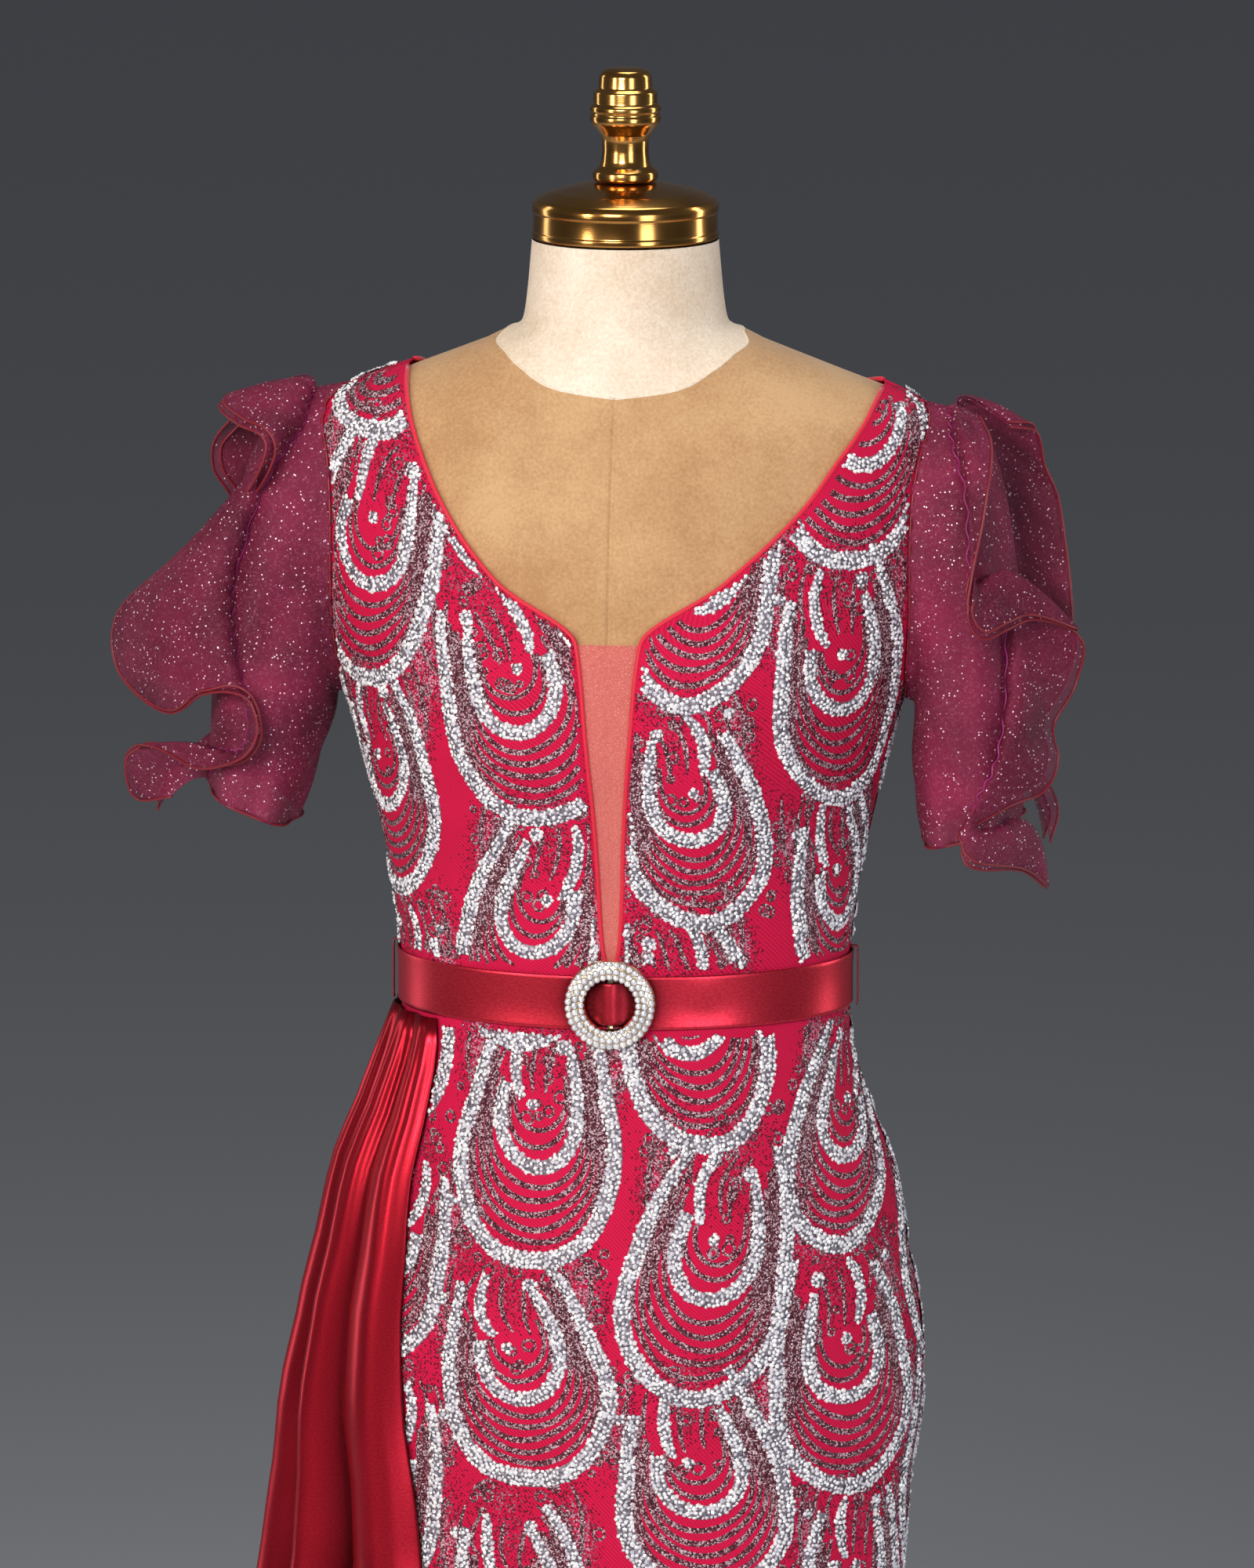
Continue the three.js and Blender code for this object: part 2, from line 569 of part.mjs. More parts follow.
// Belt loops on the side seams, hooked over the belt's upper edge.
const loopWidth = 5;
const loopWall = 1.2;
const loopDrop = 1044.6;

function beltLoop(side) {
  const top = waistHeight + beltHeight / 2 + seamGap + 0.5;
  const face = column(bodyRows, "half", top) + beltOuter + 2 * seamGap;
  const rear = column(bodyRows, "half", top + loopWall) + gownOuter + seamGap;
  const shape = new THREE.Shape();
  shape.moveTo(rear, top);
  shape.lineTo(face, top);
  shape.lineTo(face, loopDrop);
  shape.lineTo(face + loopWall, loopDrop);
  shape.lineTo(face + loopWall, top + loopWall);
  shape.lineTo(rear, top + loopWall);
  shape.closePath();
  const geometry = new THREE.ExtrudeGeometry(shape, { depth: loopWidth, bevelEnabled: false });
  geometry.rotateX(quarter);
  geometry.translate(0, loopWidth / 2, 0);
  if (side === "right") geometry.rotateZ(Math.PI);
  return named(`belt_loop_${side}`, geometry, organzaLook);
}

// Buckle: a domed ring with a bar behind it that the belt passes over.
function toSolid(geometry) {
  const bare = geometry.clone();
  bare.deleteAttribute("normal");
  bare.deleteAttribute("uv");
  const joined = mergeVertices(bare, 1e-4);
  return new wasm.Manifold(new wasm.Mesh({
    numProp: 3,
    vertProperties: new Float32Array(joined.attributes.position.array),
    triVerts: new Uint32Array(joined.index.array),
  }));
}

function toGeometry(solid) {
  const mesh = solid.getMesh();
  const geometry = new THREE.BufferGeometry();
  geometry.setAttribute("position", new THREE.BufferAttribute(mesh.vertProperties, 3));
  geometry.setIndex(new THREE.BufferAttribute(mesh.triVerts, 1));
  return geometry;
}

const buckleSegments = 32;
const buckleSeat = 1.5;
const barSeat = 2.1;
const barThickness = 1.2;
const barWidth = 3;
const barReach = 9;
const postHeight = 2.6;
const beltFace = -(column(bodyRows, "front", waistHeight) + beltOuter);
const buckleBack = beltFace - buckleSeat;
const barBack = -(column(bodyRows, "front", waistHeight) + gownOuter + barSeat);

function buckle() {
  const middle = (buckleHole + buckleRadius) / 2;
  const profile = [
    [buckleHole + 1.5, buckleBack],
    [buckleHole, buckleBack - 2],
    [buckleHole + 1, buckleBack - buckleDepth * 0.8],
    [middle, buckleBack - buckleDepth],
    [buckleRadius - 1, buckleBack - buckleDepth * 0.7],
    [buckleRadius, buckleBack - 2],
    [buckleRadius - 1.5, buckleBack],
    [buckleHole + 1.5, buckleBack],
  ].map(([radius, y]) => new THREE.Vector2(radius, y));
  const ring = new THREE.LatheGeometry(profile, buckleSegments);
  const barLength = beltHeight + barReach;
  const bar = new THREE.BoxGeometry(barWidth, barThickness, barLength);
  bar.translate(0, barBack - barThickness / 2, 0);
  let solid = toSolid(ring).add(toSolid(bar));
  for (const end of [-1, 1]) {
    const post = new THREE.BoxGeometry(barWidth, barBack - buckleBack + 2, postHeight);
    post.translate(0, (barBack + buckleBack - 2) / 2, end * (barLength - postHeight) / 2);
    solid = solid.add(toSolid(post));
  }
  const geometry = toGeometry(solid);
  geometry.translate(0, 0, waistHeight);
  return named("buckle", geometry, stoneLook);
}

// Dress form: one smooth closed torso with its neck, flat underneath. Its rows stand
// closer above the shoulder row, where the shoulders turn into the neck.
const shoulderRow = 1400;
const lowRowShare = 0.66;

function formTorso(columns, rows) {
  const points = [];
  const faces = [];
  const levels = [];
  const lowRows = Math.round(rows * lowRowShare);
  for (let j = 0; j <= lowRows; j += 1) {
    levels.push(formBottom + ((shoulderRow - formBottom) * j) / lowRows);
  }
  for (let j = 1; j <= rows - lowRows; j += 1) {
    levels.push(shoulderRow + ((neckTop - shoulderRow) * j) / (rows - lowRows));
  }
  for (const z of levels) {
    for (let i = 0; i < columns; i += 1) points.push(bodyPoint((2 * Math.PI * i) / columns, z));
  }
  for (let j = 0; j < levels.length - 1; j += 1) {
    for (let i = 0; i < columns; i += 1) {
      const a = j * columns + i;
      const b = j * columns + ((i + 1) % columns);
      faces.push([a, b, b + columns], [a, b + columns, a + columns]);
    }
  }
  const top = (levels.length - 1) * columns;
  const centres = points.length;
  points.push(new THREE.Vector3(0, 0, formBottom), new THREE.Vector3(0, 0, neckTop));
  for (let i = 0; i < columns; i += 1) {
    const next = (i + 1) % columns;
    faces.push([centres, next, i], [centres + 1, top + i, top + next]);
  }
  return closedMesh("form_torso", points, faces, velvetLook);
}

// Turned pieces stand on their profile's first point, radius and height by turns.
function turned(name, profile, segments, look) {
  const points = profile.map(([radius, height]) => new THREE.Vector2(radius, height));
  const geometry = new THREE.LatheGeometry(points, segments);
  geometry.rotateX(quarter);
  return named(name, geometry, look);
}

const capBase = neckTop + seamGap;
const capRadius = 55.4;
const capProfile = [
  [0, capBase], [54.4, capBase], [capRadius, capBase + 1], [capRadius, capBase + 20],
  [53.4, capBase + 23.5], [44, capBase + 28], [30, capBase + 31.4], [20, capBase + 33],
  [0, capBase + 33.6],
];
const finialBase = capBase + 34;
const finialProfile = [
  [0, 0], [18.4, 0], [19.4, 1.6], [19.2, 5.6], [15.6, 8.6], [14.3, 12], [14, 24], [15.4, 28],
  [19.8, 33.4], [21, 35.6], [21, 44.4], [18.9, 46], [18.9, 53], [16, 55], [15.5, 62.6],
  [13.6, 65.4], [0, 67],
].map(([radius, height]) => [radius, finialBase + height]);
const hubHeight = 32;
const baseProfile = [
  [0, 0], [baseRadius, 0], [baseRadius, baseThickness - 4], [baseRadius - 5, baseThickness],
  [30, baseThickness + 3], [25, baseThickness + 8], [24, hubHeight], [0, hubHeight],
];
const poleProfile = [
  [0, hubHeight + seamGap], [poleRadius, hubHeight + seamGap],
  [poleRadius, formBottom - seamGap], [0, formBottom - seamGap],
];

// Assembly
const gown = new THREE.Group();
gown.name = "evening_gown_on_form";
gown.add(
  bodicePanel("bodice_front_right", "right", true, 10),
  bodicePanel("bodice_front_left", "left", true, 10),
  inset,
  bodicePanel("bodice_back_right", "right", false, 8),
  bodicePanel("bodice_back_left", "left", false, 8),
  skirtPanel("skirt_front", -quarter + seamTurn, quarter - seamTurn, 16, 20),
  skirtPanel("skirt_back", quarter + seamTurn, 3 * quarter - seamTurn, 16, 20),
  drapeWall(39, 14),
  sleeveTube("right"),
  sleeveTube("left"),
  ...Object.keys(flounceRows).map(flounce),
  belt,
  buckle(),
  beltLoop("right"),
  beltLoop("left"),
  formTorso(38, 28),
  turned("neck_cap", capProfile, 32, brassLook),
  turned("finial", finialProfile, 24, brassLook),
  turned("stand_pole", poleProfile, 20, steelLook),
  turned("stand_base", baseProfile, 36, steelLook),
);

export default gown;
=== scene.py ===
# %% [markdown]
# # An evening gown on a dress form
# A sequinned gown stands on a limbless velvet form: a plunging neck with a sheer
# inset, organza sleeves with flounces, a satin belt with a stone-set buckle and a
# pleated satin drape on the wearer's right. The CAD frame gives every place. This
# lesson lays the cloth, the embroidery and the finishes over it.

# %% Load the frame
import math

import bpy
import numpy as np
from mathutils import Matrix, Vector


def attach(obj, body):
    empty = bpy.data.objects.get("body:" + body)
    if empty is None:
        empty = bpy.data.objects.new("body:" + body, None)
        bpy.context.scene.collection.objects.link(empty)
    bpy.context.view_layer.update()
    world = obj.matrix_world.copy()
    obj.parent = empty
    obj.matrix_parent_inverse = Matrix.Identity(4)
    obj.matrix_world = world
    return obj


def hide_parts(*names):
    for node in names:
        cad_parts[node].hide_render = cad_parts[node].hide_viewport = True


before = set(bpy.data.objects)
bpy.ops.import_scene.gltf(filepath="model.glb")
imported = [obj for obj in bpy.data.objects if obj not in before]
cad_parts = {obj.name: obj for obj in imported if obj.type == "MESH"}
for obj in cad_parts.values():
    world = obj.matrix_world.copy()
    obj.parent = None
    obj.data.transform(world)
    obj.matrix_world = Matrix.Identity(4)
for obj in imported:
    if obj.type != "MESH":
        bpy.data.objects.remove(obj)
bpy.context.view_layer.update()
MM = 0.001
print("nodes in the frame:", len(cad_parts))

# %% [markdown]
# Colours are picked as sRGB hex values, the way a dyer's card gives them, but the
# renderer works in linear light. One function turns one into the other, and one
# small function adds a shader or geometry node with its settings, its links and, for
# a colour ramp, its colours by their places. Most materials here are one fine
# pattern that sets the tone and may raise the surface, so one function makes those.

# %% Colour and node helpers
NOISE, CELLS, ISLAND = "ShaderNodeTexNoise", "ShaderNodeTexVoronoi", "ShaderNodeNewGeometry"
RAMP, RANGE, MIX, MATH = "ShaderNodeValToRGB", "ShaderNodeMapRange", "ShaderNodeMixRGB", "ShaderNodeMath"
BUMP, SHADER = "ShaderNodeBump", "ShaderNodeBsdfPrincipled"


def linear(hex_colour):
    parts = [int(hex_colour[i : i + 2], 16) / 255 for i in (1, 3, 5)]
    return [c / 12.92 if c <= 0.04045 else ((c + 0.055) / 1.055) ** 2.4 for c in parts] + [1.0]


def add_node(tree, kind, inputs=None, stops=None, **settings):
    node = tree.nodes.new(kind)
    for key, value in settings.items():
        setattr(node, key, value)
    for key, value in (inputs or {}).items():
        socket = node.inputs[key]
        if isinstance(value, bpy.types.NodeSocket):
            tree.links.new(value, socket)
        else:
            socket.default_value = value
    for k, (place, colour) in enumerate((stops or {}).items()):
        ramp = node.color_ramp.elements
        stop = ramp[k] if k < len(ramp) else ramp.new(place)
        stop.position = place
        stop.color = linear(colour)
    return node


def new_material(name):
    material = bpy.data.materials.new(name)
    material.use_nodes = True
    tree = material.node_tree
    tree.nodes.clear()
    output = add_node(tree, "ShaderNodeOutputMaterial")
    return material, tree, output


def toned_material(name, pattern, stops, surface, raised=None, sunk=False):
    """pattern: a node kind, the output for the tone, inputs; raised: an output, strength, distance."""
    material, tree, output = new_material(name)
    kind, tone_from, inputs = pattern
    if inputs:
        place = add_node(tree, "ShaderNodeTexCoord")
        inputs = {"Vector": place.outputs["Object"], **inputs}
    grain = add_node(tree, kind, inputs)
    tone = add_node(tree, RAMP, {"Fac": grain.outputs[tone_from]}, stops)
    surface = {"Base Color": tone.outputs[0], **surface}
    if raised:
        height_from, strength, distance = raised
        bump = add_node(tree, BUMP, {
            "Height": grain.outputs[height_from], "Strength": strength, "Distance": distance,
        }, invert=sunk)
        surface["Normal"] = bump.outputs[0]
    shader = add_node(tree, SHADER, surface)
    tree.links.new(shader.outputs[0], output.inputs["Surface"])
    return material


# %% [markdown]
# The camera comes first, because the photograph fixes it: a long lens from about
# seven metres, ten degrees above the horizon and five to the wearer's left. One
# picture pixel is 0.46 mm at the belt, so 2000 pixels are 920 mm.

# %% Camera
PIXEL = 0.46 * MM
PICTURE_HEIGHT = 2000 * PIXEL
CAMERA_TURN = math.radians(5)
CAMERA_RISE = math.radians(10)
CAMERA_DISTANCE = 7.0
FILM_HEIGHT = 36.0
aim = Vector((0.0097, -0.100, 1.1933))

camera_data = bpy.data.cameras.new("camera")
camera_data.lens = FILM_HEIGHT * CAMERA_DISTANCE / PICTURE_HEIGHT
camera_data.sensor_width = FILM_HEIGHT
camera_data.clip_end = 200
camera = bpy.data.objects.new("camera", camera_data)
bpy.context.scene.collection.objects.link(camera)
away = Vector((
    math.sin(CAMERA_TURN) * math.cos(CAMERA_RISE),
    -math.cos(CAMERA_TURN) * math.cos(CAMERA_RISE),
    math.sin(CAMERA_RISE),
))
camera.location = aim + away * CAMERA_DISTANCE
camera.rotation_euler = (-away).to_track_quat("-Z", "Y").to_euler()
bpy.context.scene.camera = camera
bpy.context.scene.view_settings.view_transform = "Standard"
print("lens", round(camera_data.lens, 1), "mm")

# %% [markdown]
# The studio is a pale floor and soft light: a large key from the front, a tall box on
# the left, a weaker cool fill from the right, a strip behind on each side that draws
# the long highlights of satin and brass, a soft light from above and a faint sky.


# %% Floor and lights
def area_light(name, place, width, height, power, colour="#FFFFFF"):
    data = bpy.data.lights.new(name, "AREA")
    data.shape = "RECTANGLE"
    data.size = width
    data.size_y = height
    data.energy = power
    data.color = linear(colour)[:3]
    light = bpy.data.objects.new(name, data)
    bpy.context.scene.collection.objects.link(light)
    light.location = place
    towards = Vector((0, 0, 1.15)) - Vector(place)
    light.rotation_euler = towards.to_track_quat("-Z", "Y").to_euler()
    return light


FLOOR_HALF = 60
floor_mesh = bpy.data.meshes.new("studio_floor")
floor_corners = [(x * FLOOR_HALF, y * FLOOR_HALF, 0) for x, y in ((-1, -1), (1, -1), (1, 1), (-1, 1))]
floor_mesh.from_pydata(floor_corners, [], [(0, 1, 2, 3)])
floor = bpy.data.objects.new("studio_floor", floor_mesh)
bpy.context.scene.collection.objects.link(floor)
floor_paint, tree, output = new_material("studio_floor_paint")
shader = add_node(tree, SHADER, {"Base Color": linear("#C9CBD1"), "Roughness": 0.9})
tree.links.new(shader.outputs[0], output.inputs["Surface"])
floor.data.materials.append(floor_paint)

area_light("key_light", (-0.7, -3.4, 2.5), 1.1, 1.1, 85, "#FFF8F2")
area_light("left_box", (-2.3, -2.5, 2.0), 0.5, 1.5, 33, "#FFF8F2")
area_light("fill_light", (1.8, -2.9, 1.6), 0.9, 1.8, 30, "#F0F3FF")
area_light("left_strip", (-2.3, 0.9, 1.5), 0.3, 2.2, 7)
area_light("right_strip", (2.2, 0.8, 1.7), 0.3, 2.2, 14)
area_light("top_light", (0.1, 0.2, 3.3), 1.0, 1.0, 14)
world = bpy.data.worlds.new("studio_sky")
bpy.context.scene.world = world
world.use_nodes = True
sky = world.node_tree.nodes["Background"].inputs
sky["Color"].default_value = linear("#DDE2EA")
sky["Strength"].default_value = 0.1

# %% [markdown]
# Form, bodice, skirt and belt share one body line: a table of level sections with
# a half width and a reach to the front and the back, in millimetres. A monotone
# curve through the rows gives every height between, so cloth laid a fixed distance
# outside it never cuts the form.

# %% Body line
BODY_ROWS = [  # height, half width, front reach, back reach
    (12, 262, 250, 262), (120, 238, 224, 236), (260, 199, 182, 196), (400, 163, 142, 158),
    (500, 150, 122, 138), (600, 153, 114, 129), (700, 163, 112, 124), (760, 168, 113, 126),
    (812, 175, 114, 128), (858, 173, 115, 127), (896, 166, 115, 124), (942, 158, 112, 116),
    (989, 141, 105, 104), (1031, 130.5, 98, 94), (1062, 130, 95, 91), (1083, 131, 95, 91),
    (1123, 136, 98, 94), (1175, 147, 108, 98), (1215, 157, 117, 101), (1250, 168, 118, 103),
    (1290, 178, 113, 104), (1330, 182, 104, 104), (1365, 183, 93, 101), (1390, 183, 82, 95),
    (1402, 178, 76, 90), (1412, 162, 71, 86), (1424, 131, 66, 81), (1436, 99, 62.5, 76),
    (1446, 74, 60, 70), (1454, 61, 59, 62), (1466, 58.5, 58, 58.5), (1503, 55, 55, 55),
]
BUST_OUT, BUST_X, BUST_Z, BUST_WIDE, BUST_HIGH = 7, 72, 1213, 44, 46
QUARTER = math.pi / 2


def smooth_column(rows, column, heights):
    """Monotone cubic through one column of a table, read at any heights."""
    z = np.array([row[0] for row in rows], float)
    v = np.array([row[column] for row in rows], float)
    slope = np.diff(v) / np.diff(z)
    before, after = slope[:-1], slope[1:]
    total = np.where(before * after > 0, before + after, 1)
    inside = np.where(before * after > 0, 2 * before * after / total, 0)
    tangent = np.concatenate([slope[:1], inside, slope[-1:]])
    q = np.clip(heights, z[0], z[-1])
    i = np.clip(np.searchsorted(z, q, side="right") - 1, 0, len(z) - 2)
    step = z[i + 1] - z[i]
    t = (q - z[i]) / step
    a, b, ta, tb = v[i], v[i + 1], tangent[i] * step, tangent[i + 1] * step
    return a + t * ta + t * t * (3 * (b - a) - 2 * ta - tb) + t**3 * (2 * (a - b) + ta + tb)


FINE_Z = np.arange(12, 1504, 1.0)
FINE = [smooth_column(BODY_ROWS, k, FINE_Z) for k in (1, 2, 3)]


def half_width(z):
    return np.interp(z, FINE_Z, FINE[0])


def body_point(angle, z):
    """Point of the body line in millimetres; angle 0 is the front, 90 degrees the wearer's left."""
    angle, z = np.broadcast_arrays(np.asarray(angle, float), np.asarray(z, float))
    cosine = np.cos(angle)
    x = half_width(z) * np.sin(angle)
    depth = np.where(cosine >= 0, np.interp(z, FINE_Z, FINE[1]), np.interp(z, FINE_Z, FINE[2]))
    bust = np.exp(-(((np.abs(x) - BUST_X) / BUST_WIDE) ** 2) - ((z - BUST_Z) / BUST_HIGH) ** 2)
    y = -depth * cosine - np.where(cosine > 0, BUST_OUT * cosine * bust, 0)
    return np.stack([x, y, z], axis=-1)


def bend(start, middle, end, t):
    """A curve from start to end that leans towards the middle."""
    return (1 - t) ** 2 * start + 2 * t * (1 - t) * middle + t * t * end


def spline(a, b, c, d, t):
    """A smooth step from b to c, with a and d as the neighbours."""
    return 0.5 * (2 * b + (c - a) * t + (2 * a - 5 * b + 4 * c - d) * t**2 + (3 * b - a - 3 * c + d) * t**3)


def unit(vectors):
    return vectors / np.maximum(np.linalg.norm(vectors, axis=-1, keepdims=True), 1e-12)


def body_normal(angle, z):
    turn, rise = 0.004, 0.8
    around = body_point(angle + turn, z) - body_point(angle - turn, z)
    upward = body_point(angle, z + rise) - body_point(angle, z - rise)
    return unit(np.cross(around, upward))


def outside(angle, z, distance):
    """Places a distance off the body line, along its normal."""
    return body_point(angle, z) + body_normal(angle, z) * np.asarray(distance, float)[..., None]


def full_turn(count):
    return np.linspace(0, 2 * math.pi, count, endpoint=False)


def angle_at_x(x, z):
    return np.arcsin(np.clip(x / half_width(z), -1, 1))


print("waist half width", round(float(half_width(1062)), 1), "mm")

# %% [markdown]
# Every cloth piece is a grid of points: rows up, columns across. One function turns
# such a grid into a mesh with a UV map in metres, so that a weave can follow the
# cloth, and gives it a thickness with Solidify. The thickness goes inwards, so the
# face that shows is the one that was worked out.

# %% Grids into pieces
def riding(name, mesh):
    """An object of a finished mesh that rides on the one body."""
    piece = bpy.data.objects.new(name, mesh)
    bpy.context.scene.collection.objects.link(piece)
    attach(piece, "root")
    return piece


def new_piece(name, vertices, faces, material):
    """A mesh piece in metres from points in millimetres."""
    mesh = bpy.data.meshes.new(name)
    mesh.from_pydata((np.asarray(vertices, float) * MM).tolist(), [], faces)
    mesh.materials.append(material)
    mesh.polygons.foreach_set("use_smooth", [True] * len(mesh.polygons))
    mesh.update()
    return riding(name, mesh)


def grid_faces(rows, columns, ring=False):
    """Quads of a grid whose points run along each row in turn."""
    across = columns if ring else columns - 1
    faces = []
    for j in range(rows - 1):
        for i in range(across):
            k = (i + 1) % columns
            faces.append((j * columns + i, j * columns + k, (j + 1) * columns + k, (j + 1) * columns + i))
    return faces


def grid_piece(name, points, material, wall=None, ring=False):
    """points is rows x columns x 3 in millimetres, outer face to the outside."""
    rows, columns = points.shape[:2]
    faces = grid_faces(rows, columns, ring)
    piece = new_piece(name, points.reshape(-1, 3), faces, material)
    across = np.linalg.norm(np.diff(points, axis=1), axis=2).mean(axis=0)
    upward = np.linalg.norm(np.diff(points, axis=0), axis=2).mean(axis=1)
    u = np.concatenate([[0], np.cumsum(across)])
    v = np.concatenate([[0], np.cumsum(upward)])
    uv = np.stack(np.broadcast_arrays(u[None, :], v[:, None]), axis=-1)
    flat_uv = (uv * MM).reshape(-1, 2)
    layer = piece.data.uv_layers.new(name="cloth")
    corner_points = np.array([k for face in faces for k in face])
    layer.data.foreach_set("uv", flat_uv[corner_points].ravel())
    if wall:
        solidify = piece.modifiers.new("cloth_thickness", "SOLIDIFY")
        solidify.thickness = wall * MM
        solidify.offset = -1
        solidify.use_even_offset = False
    return piece


# %% [markdown]
# The gown's ground is crimson stretch tulle over a knit lining. From a step away it
# is a matt bright red with a fine crossing of threads, and between the embroidered
# lines the tulle is strewn with wine red and pink glitter. The threads are drawn
# about 1.9 mm apart, coarser than in real tulle, so that the picture can show them.
# The attribute named glitter says where the strewn zones lie.

# %% Crimson stretch tulle
crimson_tulle, tree, output = new_material("crimson_stretch_tulle")
cloth_uv = add_node(tree, "ShaderNodeUVMap", uv_map="cloth")
threads = add_node(tree, "ShaderNodeTexWave", {
    "Vector": cloth_uv.outputs[0], "Scale": 240.0, "Distortion": 1.2, "Detail": 1.0,
}, bands_direction="DIAGONAL")
place = add_node(tree, "ShaderNodeTexCoord")
shade = add_node(tree, NOISE, {"Vector": place.outputs["Object"], "Scale": 16.0, "Detail": 3.0})
ground = add_node(tree, RAMP, {"Fac": shade.outputs[0]}, {0.3: "#B00430", 0.7: "#CC0A42"})
woven = add_node(tree, MIX, {
    "Fac": threads.outputs[0], "Color1": ground.outputs[0], "Color2": linear("#D8124A"),
})
strewn = add_node(tree, "ShaderNodeAttribute", attribute_name="glitter")
specks = add_node(tree, CELLS, {"Vector": place.outputs["Object"], "Scale": 900.0})
speck_edge = add_node(tree, MATH, {0: specks.outputs["Distance"], 1: 0.62}, operation="LESS_THAN")
here = add_node(tree, MATH, {0: strewn.outputs["Fac"], 1: specks.outputs["Color"]}, operation="GREATER_THAN")
speck = add_node(tree, MATH, {0: speck_edge.outputs[0], 1: here.outputs[0]}, operation="MULTIPLY")
speck_tone = add_node(tree, RAMP, {"Fac": specks.outputs["Color"]}, {0.35: "#5C1028", 0.72: "#D09AAC"})
colour = add_node(tree, MIX, {
    "Fac": speck.outputs[0], "Color1": woven.outputs[0], "Color2": speck_tone.outputs[0],
})
bump = add_node(tree, BUMP, {"Height": threads.outputs[0], "Strength": 0.25, "Distance": 0.0004})
shader = add_node(tree, SHADER, {
    "Base Color": colour.outputs[0], "Normal": bump.outputs[0], "Roughness": 0.85,
    "Specular IOR Level": 0.25,
})
tree.links.new(shader.outputs[0], output.inputs["Surface"])

# %% [markdown]
# The silver bands are crushed sequins, sewn on so thickly that they stand up and
# catch the light each at its own angle. A sequin is a metal-coated polyester flake:
# bright, a little milky, with a tone of its own. Under the flakes lies a narrow tape,
# painted dark grey as painted shade, so that the gaps between the flakes are dark with
# their shade and not red. The thin nested lines are cords of tiny dark beads, wine red
# to smoke grey, with a light one here and there. A bead is about 1 mm across, so the
# cells of the pattern are that size. The same beads make the small rings and dots.

# %% Sequins, their tape and the bead cords
silver_sequin = toned_material(
    "silver_sequin_flakes", (ISLAND, "Random Per Island", {}), {0: "#D4D1DC", 0.6: "#FFFFFF"},
    {"Metallic": 0.12, "Roughness": 0.28, "Coat Weight": 0.5, "Coat Roughness": 0.12},
)
# Painted shade: the tape's dark grey stands for the shade in the gaps between the flakes.
sequin_tape = toned_material(
    "sequin_tape_painted_gap_shade", (CELLS, "Color", {"Scale": 700.0}), {0: "#463842", 1: "#A29CA8"},
    {"Metallic": 0.3, "Roughness": 0.45}, ("Distance", 0.8, 0.0006),
)
dark_bead = toned_material(
    "dark_glitter_bead_cord", (CELLS, "Color", {"Scale": 1050.0}),
    {0.3: "#4A1020", 0.78: "#DCC0C8", 0.56: "#7A3848"},
    {"Metallic": 0.35, "Roughness": 0.35}, ("Distance", 1.0, 0.0007), sunk=True,
)

# %% [markdown]
# Satin has long floats of weft over a fine warp, so its shine is stretched across
# the thread and its folds run from nearly black to bright red. A large share of
# metallic and a turned, anisotropic gloss give that, with a faint slub in the weft.
# The folds of real satin are deeper and closer than this mesh, so ambient occlusion
# darkens the colour in the valleys as painted shade. The drape's satin is wine red; the
# belt is the same cloth, painted a little brighter as painted light for the highlight
# across its front.


# %% Satin
def satin(name, dark, light, gloss):
    material, tree, output = new_material(name)
    cloth = add_node(tree, "ShaderNodeUVMap", uv_map="cloth")
    stretched = add_node(tree, "ShaderNodeMapping", {
        "Vector": cloth.outputs[0], "Scale": (420.0, 900.0, 1.0),
    })
    slub = add_node(tree, NOISE, {"Vector": stretched.outputs[0], "Scale": 1.0, "Detail": 2.0})
    tone = add_node(tree, RAMP, {"Fac": slub.outputs[0]}, {0.3: dark, 0.7: light})
    # Painted shade: ambient occlusion darkens the base colour in the fold valleys.
    folds = add_node(tree, "ShaderNodeAmbientOcclusion", {"Distance": 0.05}, samples=6)
    depth = add_node(tree, RANGE, {
        "Value": folds.outputs["AO"], "From Min": 0.52, "From Max": 0.95, "To Min": 0.06, "To Max": 1.0,
    })
    shaded = add_node(tree, MIX, {
        "Fac": 1.0, "Color1": tone.outputs[0], "Color2": depth.outputs[0],
    }, blend_type="MULTIPLY")
    bump = add_node(tree, BUMP, {"Height": slub.outputs[0], "Strength": 0.08, "Distance": 0.0003})
    thread = add_node(tree, "ShaderNodeTangent", direction_type="UV_MAP", uv_map="cloth")
    shader = add_node(tree, SHADER, {
        "Base Color": shaded.outputs[0], "Normal": bump.outputs[0], "Tangent": thread.outputs[0],
        "Metallic": 0.9, "Roughness": gloss, "Anisotropic": 0.3,
    })
    tree.links.new(shader.outputs[0], output.inputs["Surface"])
    return material


drape_satin = satin("wine_red_satin", "#CE1E32", "#E02C40", 0.3)
# Painted light: the belt is the drape's satin painted brighter, for the highlight across its front.
belt_satin_painted_light = satin("belt_satin_painted_light", "#DC2C40", "#F04052", 0.34)
print("satins:", drape_satin.name, belt_satin_painted_light.name)
